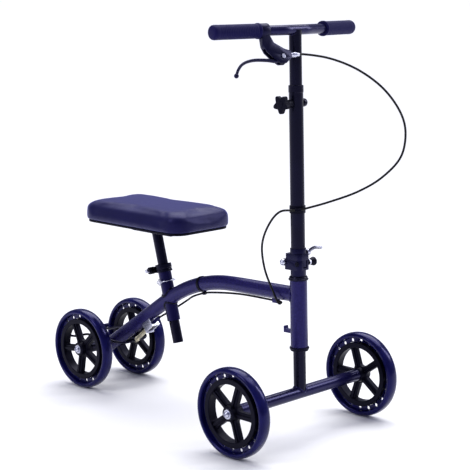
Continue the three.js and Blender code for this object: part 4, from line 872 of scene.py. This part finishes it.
def remeshed(target, voxel):
    remesh = target.modifiers.new("remesh", "REMESH")
    remesh.mode = "VOXEL"
    remesh.voxel_size = voxel
    bake_modifiers(target)


def bake_modifiers(target):
    mesh = evaluated_mesh(target)
    target.modifiers.clear()
    target.data = mesh


remeshed(pad, 0.005)
before = [v.co.copy() for v in pad.data.vertices]
held = pad.vertex_groups.new(name="held")
held.add([i for i, p in enumerate(before) if p.z < pad_low.z + 0.003], 1.0, "REPLACE")
cloth = pad.modifiers.new("cloth", "CLOTH")
cloth.settings.quality = 8
cloth.settings.mass = 0.4
cloth.settings.tension_stiffness = 25
cloth.settings.compression_stiffness = 25
cloth.settings.bending_stiffness = 3
cloth.settings.use_pressure = True
cloth.settings.uniform_pressure_force = 4
cloth.settings.vertex_group_mass = "held"
cloth.settings.effector_weights.gravity = 0
for step in range(1, 21):
    scene.frame_set(step)
swollen = pad.evaluated_get(bpy.context.evaluated_depsgraph_get())
after = [v.co.copy() for v in swollen.data.vertices]
pad.modifiers.clear()
CAP = 0.003
for vertex, old, new in zip(pad.data.vertices, before, after):
    shift = new - old
    if shift.length > CAP:
        shift = shift.normalized() * CAP
    vertex.co = old + shift
scene.frame_set(1)

# the vinyl is drawn tight, with faint pulls towards the staples at the corners
for vertex in pad.data.vertices:
    p = vertex.co
    edge = max(abs(p.x) / PAD_X, abs(p.y - centre_y) / PAD_Y)
    low = 1 - min(max((p.z - pad_low.z) / SIDE_HEIGHT, 0), 1)
    pull = 0.0006 * low * edge * noise.noise(Vector((p.x * 60, p.y * 60, p.z * 14)))
    vertex.co = p + Vector((p.x, p.y - centre_y, 0)).normalized() * pull
pad.data.shade_smooth()
levelled = pad.modifiers.new("levelled", "SMOOTH")
levelled.factor = 0.5
levelled.iterations = 6
smoothing = pad.modifiers.new("finer", "SUBSURF")
smoothing.levels = smoothing.render_levels = 1
bake_modifiers(pad)
pad.data.shade_smooth()
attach(pad, "seat")
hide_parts("seat_pad")

# ---------------------------------------------------------------- fold hinge and latch
# Two black castings meet above the head: the lower one is pinned on the steerer, the upper one
# swings back about a rear pin. A skewer with a cone nut and a bright lever lock them together.

HINGE_SPLIT = HINGE_BASE + 0.036
PIN_BACK, PIN_UP = 0.027, HINGE_SPLIT - 0.006
SKEWER_FORWARD, SKEWER_UP = 0.013, HINGE_SPLIT - 0.007


def dress(node, material, soften):
    """Gives a carried-over solid its material and soft edges."""
    target = frame["nodes"][node]
    target.data.materials.clear()
    target.data.materials.append(material)
    weld = target.modifiers.new("weld", "WELD")
    weld.merge_threshold = 0.00002
    soft_edges(target, soften, 34)
    target.data.shade_smooth()


cast_black = coating("satin_black_casting", (700, 3), (0.24, 0.44), [(0, (0.003, 0.003, 0.014))],
                     [(700, 3, 0.25, 0.0003), (90, 3, 0.1, 0.0008)],
                     Specular_IOR_Level=0.3, Specular_Tint=BLUE_SHINE)
for node in ("hinge_lower", "hinge_upper"):
    dress(node, cast_black, 0.0012)

fold_pin = steer @ Matrix.Translation((0, PIN_BACK, PIN_UP)) @ TO_X
pin_profile = [(0, -0.0273), (0.0032, -0.0268), (0.0058, -0.0250), (0.0072, -0.0224), (0.0075, -0.0196),
               (0.0072, -0.0183),
               (0.004, -0.0183), (0.004, 0.0183), (0.0065, 0.0183), (0.0065, 0.0205), (0.0055, 0.0223),
               (0, 0.0223)]
piece("fold_pin", [turn(pin_profile, fold_pin, 40)], bright_zinc, "steering_fork", ["hinge_pin"],
      soften=0.0004)

skewer = steer @ Matrix.Translation((0, -SKEWER_FORWARD, SKEWER_UP)) @ TO_X
cone = [(0, -0.0218), (0.0036, -0.0218), (0.0050, -0.0208), (0.0050, -0.0183), (0.0030, -0.0183),
        (0.0030, 0.0183),
        (0.0055, 0.0183), (0.0055, 0.0232), (0.0066, 0.0240), (0.0100, 0.0352), (0.0100, 0.0368),
        (0.0086, 0.0383), (0, 0.0383)]
piece("skewer_nut", [turn(cone, skewer, 48)], moulded_black, "steering_fork", ["latch_skewer"],
      soften=0.0005)
piece("skewer_sleeve", [pipe(0.0056, 0.0064, 0.0188, 0.0230, skewer, 40)], bright_zinc, "steering_fork")

lever_up, lever_forward, lever_in = HINGE_SPLIT + 0.015, 0.008, 0.0185
latch_line = smooth_line([(lever_in + 0.005, -lever_forward, lever_up),
                          (lever_in + 0.008, -lever_forward - 0.016, lever_up + 0.011),
                          (lever_in + 0.011, -lever_forward - 0.036, lever_up + 0.013)], 10)
latch_eye = turn([(0, lever_in - 0.0005), (0.0055, lever_in - 0.0005), (0.0068, lever_in + 0.0012),
                  (0.0070, lever_in + 0.0075),
                  (0.0058, lever_in + 0.009), (0, lever_in + 0.009)],
                 steer @ Matrix.Translation((0, -lever_forward, lever_up)) @ TO_X, 40)
piece("latch_handle", [latch_eye, sweep([steer @ p for p in latch_line],
                                        lambda t: (0.0028, 0.0042 - 0.0008 * t), 24,
                                        side=(1, 0, 0))],
      bright_zinc, "latch_lever", ["latch_lever"], soften=0.0003)

# ---------------------------------------------------------------- column, stem and height knob
# The lower column is a 32 mm black tube. The stem slides in it and is held by a through bolt
# with a domed head on the left and a five-lobed knob on the right.

COLUMN_LOW = HINGE_SPLIT + 0.003
COLUMN_HIGH = COLUMN_LOW + 0.382
COLUMN_RADIUS = 0.0159
KNOB_HEIGHT = COLUMN_HIGH - 0.039
HANDLE_HEIGHT = 0.8073
STEM_RADIUS = 0.0138
column_profile = [(0.0142, COLUMN_LOW), (COLUMN_RADIUS, COLUMN_LOW), (COLUMN_RADIUS, COLUMN_HIGH - 0.016),
                  (COLUMN_RADIUS + 0.0008, COLUMN_HIGH - 0.0152),
                  (COLUMN_RADIUS + 0.0008, COLUMN_HIGH - 0.001),
                  (COLUMN_RADIUS, COLUMN_HIGH), (0.0142, COLUMN_HIGH)]
piece("lower_column", [turn(column_profile, steer)], gloss_black, "column", ["column_tube"],
      soften=0.0004)

stem_holes = together([
    pin(0.0043, 0.03, steer @ Matrix.Translation((0, 0, KNOB_HEIGHT - 0.0205 * k)) @ TO_X)
    for k in range(5)
])
stem_shape = cut(pipe(0.0118, STEM_RADIUS, COLUMN_HIGH - 0.168, HANDLE_HEIGHT, steer), stem_holes)
piece("stem", [stem_shape], gloss_black, "handlebar", ["stem_tube"], soften=0.0003)

knob_place = steer @ Matrix.Translation((0, 0, KNOB_HEIGHT)) @ TO_X
lobes = []
for i in range(100):
    angle = math.tau * i / 100
    radius = 0.0173 + 0.0036 * math.cos(5 * angle)
    lobes.append((radius * math.cos(angle), radius * math.sin(angle)))
knob_shapes = [
    prism(lobes, -0.052, -0.042, knob_place),
    turn([(0.0043, -0.0435), (0.0135, -0.0435), (0.0112, -0.037), (0.0092, -0.030), (0.0088, -0.019),
          (0.0095, -0.0175),
          (0.0043, -0.0175)], knob_place, 48),
    turn([(0, -0.0530), (0.0075, -0.0530), (0.0085, -0.0518), (0, -0.0518)], knob_place, 48),
]
piece("star_knob", knob_shapes, moulded_black, "height_knob", ["height_knob"], soften=0.0016)
dome_profile = [(0, -0.042), (0.004, -0.042), (0.004, 0.0165), (0.0092, 0.0165), (0.0095, 0.0172),
                (0.0095, 0.0245),
                (0.0089, 0.0274), (0.0071, 0.0298), (0.0042, 0.0313), (0, 0.0317)]
piece("dome_bolt", [turn(dome_profile, knob_place, 48)], gloss_black, "column",
      ["height_bolt"], soften=0.0003)

# ---------------------------------------------------------------- handlebar and grips
# A 22 mm navy bar runs through the top of the stem, swept back a little each side, with black
# rubber grips pushed on its ends.

SWEEP_START = 0.034
HALF_SPAN = 0.224
GRIP_LENGTH = 0.123
sweep_angle = math.radians(9.5)
bar_reach = HALF_SPAN - 0.004
right_place = steer @ Matrix.Translation((-SWEEP_START, 0,
                                          HANDLE_HEIGHT)) @ Matrix.Rotation(math.pi - sweep_angle, 4, "Z")
left_place = steer @ Matrix.Translation((SWEEP_START, 0, HANDLE_HEIGHT)) @ Matrix.Rotation(sweep_angle, 4,
    "Z")


def bar_back(distance):
    return max(0.0, distance - SWEEP_START) * math.tan(sweep_angle)


stations = [bar_reach, bar_reach * 0.7, 0.09, 0.06, SWEEP_START, 0.016]
bar_points = [(-d, bar_back(d), HANDLE_HEIGHT) for d in stations]
bar_points += [(d, bar_back(d), HANDLE_HEIGHT) for d in reversed(stations)]
piece("bar", [sweep([steer @ p for p in smooth_line(bar_points, 8)], 0.0111, 40)], gloss_navy, "handlebar",
      ["handlebar"], soften=0.0005)
bar_ring = []
for x, y in circle(STEM_RADIUS):
    drop = math.sqrt(max(0.0113**2 - (0.8 * y) ** 2, 0))
    bar_ring.append(steer @ Vector((x, 0.8 * y, HANDLE_HEIGHT - drop)))
bead(bar_ring, "bar_weld", gloss_black, "handlebar", 0.0022)

grip_rubber = coating("grip_rubber", (60, 4), (0.5, 0.72), [(0, (0.006, 0.005, 0.045))], [],
                      Specular_IOR_Level=0.25, Specular_Tint=BLUE_SHINE)
dimples = texture(grip_rubber, "ShaderNodeTexVoronoi", 620)
bumped(grip_rubber, dimples.outputs["Distance"], 0.35, 0.0004)
grip_end = (HALF_SPAN - SWEEP_START) / math.cos(sweep_angle)
grip_start = grip_end - GRIP_LENGTH
grip_profile = [(0.0114, grip_start), (0.0165, grip_start), (0.0171, grip_start + 0.0008),
                (0.0171, grip_start + 0.0045),
                (0.0160, grip_start + 0.0058), (0.0152, grip_start + 0.008)]
ribs = 22
for i in range(ribs):
    at = grip_start + 0.010 + (GRIP_LENGTH - 0.026) * i / ribs
    grip_profile += [(0.0154, at), (0.0158, at + 0.0007), (0.0158, at + 0.0032), (0.0154, at + 0.0039)]
grip_profile += [(0.0160, grip_end - 0.014), (0.0160, grip_end - 0.007), (0.0154, grip_end - 0.0035),
                 (0.0138, grip_end - 0.0012), (0.0110, grip_end), (0, grip_end), (0, grip_end - 0.003),
                 (0.0114, grip_end - 0.003)]
for name, place in (("left", left_place), ("right", right_place)):
    piece(f"{name}_hand_grip", [turn(grip_profile, place @ TO_X, 56)], grip_rubber, "handlebar",
          [f"grip_{name}"],
          sharp=50)

# ---------------------------------------------------------------- brake lever
# The lever bracket is a black moulding clamped on the bar inside the right grip. The curved
# blade pivots on a screw in it, and a bright barrel adjuster takes the cable.

lever_place = right_place @ Matrix.Rotation(math.radians(24 + 270), 4, "X")  # local XY is the blade's plane
PIVOT = Vector(((0.062 - SWEEP_START) / math.cos(sweep_angle), 0.062))
dress("lever_bracket", cast_black, 0.001)

pivot = lever_place @ Matrix.Translation((PIVOT.x, PIVOT.y, 0))
piece("lever_screw", [turn([(0, -0.0100), (0.0032, -0.0100), (0.0046, -0.0094), (0.0050, -0.0084),
                            (0.0050, -0.0073),
                            (0.0030, -0.0073), (0.0030, 0.0073), (0.0050, 0.0073), (0.0050, 0.009),
                            (0, 0.009)], pivot, 32)],
      bright_zinc, "handlebar", ["lever_pivot_screw"], soften=0.0003)

blade_points = [(PIVOT.x + dx, PIVOT.y + dy, 0) for dx, dy in
                ((0.002, 0.002), (0.015, 0.008), (0.042, 0.005), (0.080, 0.004), (0.107, 0.011),
                 (0.122, 0.023), (0.130, 0.034))]
blade_line = [lever_place @ p for p in smooth_line(blade_points, 8)]
blade = sweep(blade_line, lambda t: (0.0052 - 0.0014 * t, 0.0040 - 0.0012 * t), 28,
              side=lever_place.to_3x3() @ Vector((0, 0, 1)))
boss = turn([(0.0033, -0.0036), (0.0066, -0.0036), (0.0074, -0.0028), (0.0074, 0.0028), (0.0066, 0.0036),
             (0.0033, 0.0036)],
            pivot, 40)
ball_rings = [(0.0052 * math.sin(math.pi * k / 12),
               -0.0052 * math.cos(math.pi * k / 12)) for k in range(13)]
ball_rings[0], ball_rings[-1] = (0, -0.0052), (0, 0.0052)
ball = turn(ball_rings, lever_place @ Matrix.Translation((PIVOT.x + 0.131, PIVOT.y + 0.036, 0)), 28)
piece("lever_blade", [blade, boss, ball], cast_black, "brake_lever", ["brake_lever"])

ADJUSTER_END = PIVOT.x - 0.048
CABLE_DROP_FROM_BAR = 0.057
barrel = lever_place @ Matrix.Translation((0, CABLE_DROP_FROM_BAR, 0)) @ TO_X
barrel_profile = [(0.0032, ADJUSTER_END), (0.0038, ADJUSTER_END), (0.0042, ADJUSTER_END + 0.001),
                  (0.0042, ADJUSTER_END + 0.008)]
for i in range(4):
    at = ADJUSTER_END + 0.009 + 0.002 * i
    barrel_profile += [(0.0056, at), (0.0056, at + 0.0014), (0.0050, at + 0.0017)]
barrel_profile += [(0.0040, ADJUSTER_END + 0.018), (0.0040, PIVOT.x - 0.0243), (0.0032, PIVOT.x - 0.0243)]
piece("cable_adjuster", [turn(barrel_profile, barrel, 32)], bright_zinc, "handlebar",
      ["barrel_adjuster"])

# ---------------------------------------------------------------- brake gear at the rear wheels
# A bracket hangs under the backbone and stops the cable. The cable pulls a plated rod against
# its spring, and the rod draws the brake bar's rubber sleeves onto both rear tyres.

PULL_SLOPE = Matrix.Rotation(math.radians(-40), 4, "X")
pull = Matrix.Translation((0, rear_axle.y - 0.175,
                           rear_axle.z + 0.086)) @ PULL_SLOPE  # local Y runs down to the rear
dress("brake_bracket", bright_zinc, 0.0005)

yellow_zinc = coating("yellow_zinc_plate", (120, 5), (0.22, 0.42), [
    (0.3, (0.50, 0.47, 0.36)), (0.55, (0.68, 0.64, 0.48)), (0.8, (0.72, 0.68, 0.60))], [], 1.0)

pull_rod = turn([(0, 0.0135), (0.001, 0.0135), (0.001, 0.027), (0.0056, 0.027), (0.006, 0.0276),
                 (0.006, 0.0326), (0.0054, 0.033),
                 (0.003, 0.033), (0.003, 0.092), (0.0062, 0.092), (0.0065, 0.0925), (0.0065, 0.0955),
                 (0.0060, 0.096), (0, 0.096)],
                pull @ TO_Y, 32)
rod_eye = [pull @ Vector((0, 0.100 + 0.0045 * math.sin(a), 0.0045 * math.cos(a))) for a in
           (math.tau * i / 32 for i in range(33))]
piece("pull_rod", [pull_rod, sweep(rod_eye, 0.0014, 16)], yellow_zinc, "brake_bar",
      ["brake_pull_rod"], soften=0.0003)

coil = []
TURNS, SPRING_LOW, SPRING_HIGH = 11, 0.0412, 0.0908
for i in range(TURNS * 20 + 1):
    t = i / (TURNS * 20)
    angle = math.tau * TURNS * t
    ease = t + 0.018 * math.sin(math.tau * t)
    coil.append(pull @ Vector((0.0048 * math.cos(angle), SPRING_LOW + (SPRING_HIGH - SPRING_LOW) * ease,
                               0.0048 * math.sin(angle))))
spring = piece("return_spring", [sweep(coil, 0.0007, 8)], yellow_zinc, "frame", ["brake_spring"])
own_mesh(spring)

BAR_RISE = 0.010
SLEEVE_RADIUS = 0.0055
TRACK_HALF = joint["rear_left_wheel_spin"]["pos_m"][0]
bar_y = (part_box("brake_sleeve_left")[0].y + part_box("brake_sleeve_left")[1].y) / 2
bar_z = rear_axle.z + BAR_RISE
rod_tip = pull @ Vector((0, 0.100, 0))
arm_top = rear_axle.z + ARM_RISE
arm = [
    (0.030, rod_tip.y + 0.003, rod_tip.z - 0.001), (0.048, rod_tip.y + 0.016, rod_tip.z + 0.001),
    (ARM_X, rod_tip.y + 0.042, arm_top), (ARM_X, rear_axle.y, arm_top),
    (ARM_X, rear_axle.y + 0.022, arm_top),
    (ARM_X, bar_y - 0.040, bar_z + 0.003), (ARM_X, bar_y - 0.016, bar_z),
    (ARM_X + 0.010, bar_y - 0.002, bar_z),
    (ARM_X + 0.018, bar_y, bar_z), (TRACK_HALF - 0.001, bar_y, bar_z),
]
bail = [(-x, y, z) for x, y, z in reversed(arm)] + [(0, rod_tip.y, rod_tip.z)] + arm
piece("brake_rod_bail", [sweep(smooth_line(bail, 8), 0.003, 20)], gloss_black, "brake_bar",
      ["brake_bar"],
      soften=0.0003)
for name, side in (("left", 1), ("right", -1)):
    sleeve = [(0.0033, -0.0065), (0.0051, -0.0065), (SLEEVE_RADIUS, -0.0060), (SLEEVE_RADIUS, 0.0060),
              (0.0051, 0.0065),
              (0.0033, 0.0065)]
    sleeve_place = Matrix.Translation((side * (TRACK_HALF - 0.008), bar_y, bar_z)) @ TO_X
    piece(f"{name}_brake_rubber", [turn(sleeve, sleeve_place, 32)], grip_rubber,
          "brake_bar", [f"brake_sleeve_{name}"], soften=0.0003)

# ---------------------------------------------------------------- brake cable
# One 5 mm black cable: a wide loop in front of the handlebar to the clip on the column, a
# second loop to the stop under the backbone, then along it to the bracket at the back.

CABLE_RADIUS = 0.0025
STOP_Y = front_axle.y + 0.075
STRAP_Y = front_axle.y + 0.311
CABLE_DROP = BACKBONE_RADIUS + 0.0017 + CABLE_RADIUS + 0.0003


def under_tube(y, x=0.0):
    centre, slope = on_backbone(y)
    return Vector((x, y + CABLE_DROP * math.sin(slope), centre.z - CABLE_DROP * math.cos(slope)))


CLIP_HEIGHT = COLUMN_LOW + 0.110
CLIP_OUT = (COLUMN_RADIUS + 0.0054) * math.sqrt(0.5)
BULGE = 0.236
bulge_heading = math.radians(40)
clip_point = steer @ Vector((-CLIP_OUT, -CLIP_OUT, CLIP_HEIGHT))
loop_top = lever_place @ Vector((ADJUSTER_END, CABLE_DROP_FROM_BAR, 0))


def on_loop(out, down):
    point = loop_top.lerp(clip_point, down)
    return point + Vector((math.cos(bulge_heading), -math.sin(bulge_heading), 0)) * (BULGE * out)


upper = [
    lever_place @ Vector((ADJUSTER_END + 0.006, CABLE_DROP_FROM_BAR, 0)), loop_top,
    lever_place @ Vector((ADJUSTER_END - 0.012, CABLE_DROP_FROM_BAR, 0)),
    on_loop(0.28, 0.025), on_loop(0.55, 0.1), on_loop(0.8, 0.23), on_loop(0.96, 0.39), on_loop(1, 0.51),
    on_loop(0.96, 0.66), on_loop(0.79, 0.79), on_loop(0.57, 0.88), on_loop(0.28, 0.95),
    on_loop(0.09, 0.985),
]
HOLD_HEIGHT = HINGE_BASE + 0.040
middle = [steer @ Vector(p) for p in (
    (-0.029, 0.024, CLIP_HEIGHT - 0.004), (-0.033, 0.055, CLIP_HEIGHT - 0.034),
    (-0.035, 0.076, CLIP_HEIGHT - 0.082))]
lower = [steer @ Vector((-0.034, 0.071, HOLD_HEIGHT - 0.026)),
         steer @ Vector((-0.029, 0.055, HOLD_HEIGHT - 0.070)),
         under_tube(STOP_Y - 0.026, -0.019), under_tube(STOP_Y - 0.022, -0.006)]
along = [
    under_tube(STOP_Y - 0.008), under_tube(STOP_Y + 0.010), under_tube((STOP_Y + STRAP_Y) / 2),
    under_tube(STRAP_Y - 0.008),
    under_tube(STRAP_Y + 0.008), under_tube(STRAP_Y + 0.049, 0.007),
    under_tube(STRAP_Y + 0.082, SOCKET_RADIUS + 0.004),
    under_tube(STRAP_Y + 0.112, SOCKET_RADIUS + 0.0055), under_tube(STRAP_Y + 0.138, SOCKET_RADIUS),
    pull @ Vector((0, -0.010, 0)), pull @ Vector((0, 0.0077, 0)),
]
route = [*upper, clip_point, *middle, *lower, *along]
STEPS = 10
cable = smooth_line(route, STEPS)
clip_index = len(upper)
hold_index = clip_index + len(middle)
stop_index = hold_index + len(lower) + 1

cable_black = coating("cable_jacket", (800, 2), (0.28, 0.42), [(0, (0.002, 0.002, 0.003))],
                      [(800, 2, 0.15, 0.0002)], Specular_IOR_Level=0.2)


def stretch(start, end):
    return cable[start * STEPS : end * STEPS + 1]


cable_stretches = (
    ("cable_upper_loop", "brake_cable_upper", 0, clip_index, "column", "handlebar", loop_top),
    ("cable_column_bend", "brake_cable_middle", clip_index, hold_index, "steering_fork", "column", clip_point),
    ("cable_head_bend", "brake_cable_lower", hold_index, stop_index, "frame", "steering_fork", route[hold_index]),
)
for name, node, start, end, body, other, held in cable_stretches:
    bend = piece(name, [sweep(stretch(start, end), CABLE_RADIUS, 20)], cable_black, None, [node])
    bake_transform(bend)
piece("cable_under_tube", [sweep(stretch(stop_index, len(route) - 1), CABLE_RADIUS, 20)], cable_black,
      "frame",
      ["brake_cable_frame"])
boot = [(0.0027, -0.016), (0.0032, -0.016), (0.0040, -0.013), (0.0034, -0.011), (0.0043, -0.008),
        (0.0036, -0.006),
        (0.0044, -0.003), (0.0038, -0.001), (0.0044, 0.002), (0.0044, 0.0075), (0.0027, 0.0075)]
piece("cable_boot", [turn(boot, pull @ TO_Y, 32)], grip_rubber, "frame", sharp=60)
for node in ("cable_clip", "cable_strap"):
    dress(node, moulded_black, 0.0005)
stop_place, stop_slope = on_backbone(STOP_Y)
stop_frame = Matrix.Translation(stop_place) @ Matrix.Rotation(stop_slope, 4, "X")
stop_box = rounded([(-0.005, -CABLE_DROP - 0.005), (0.005, -CABLE_DROP - 0.005),
                    (0.005, -BACKBONE_RADIUS + 0.002),
                    (-0.005, -BACKBONE_RADIUS + 0.002)], 0.002)
stop_shape = cut(prism(stop_box, -0.008, 0.008, stop_frame @ UPRIGHT),
                 pin(0.0028, 0.02, stop_frame @ Matrix.Translation((0, 0, -CABLE_DROP)) @ TO_Y))
piece("cable_stop", [stop_shape], vein_coat, "frame", soften=0.0004)
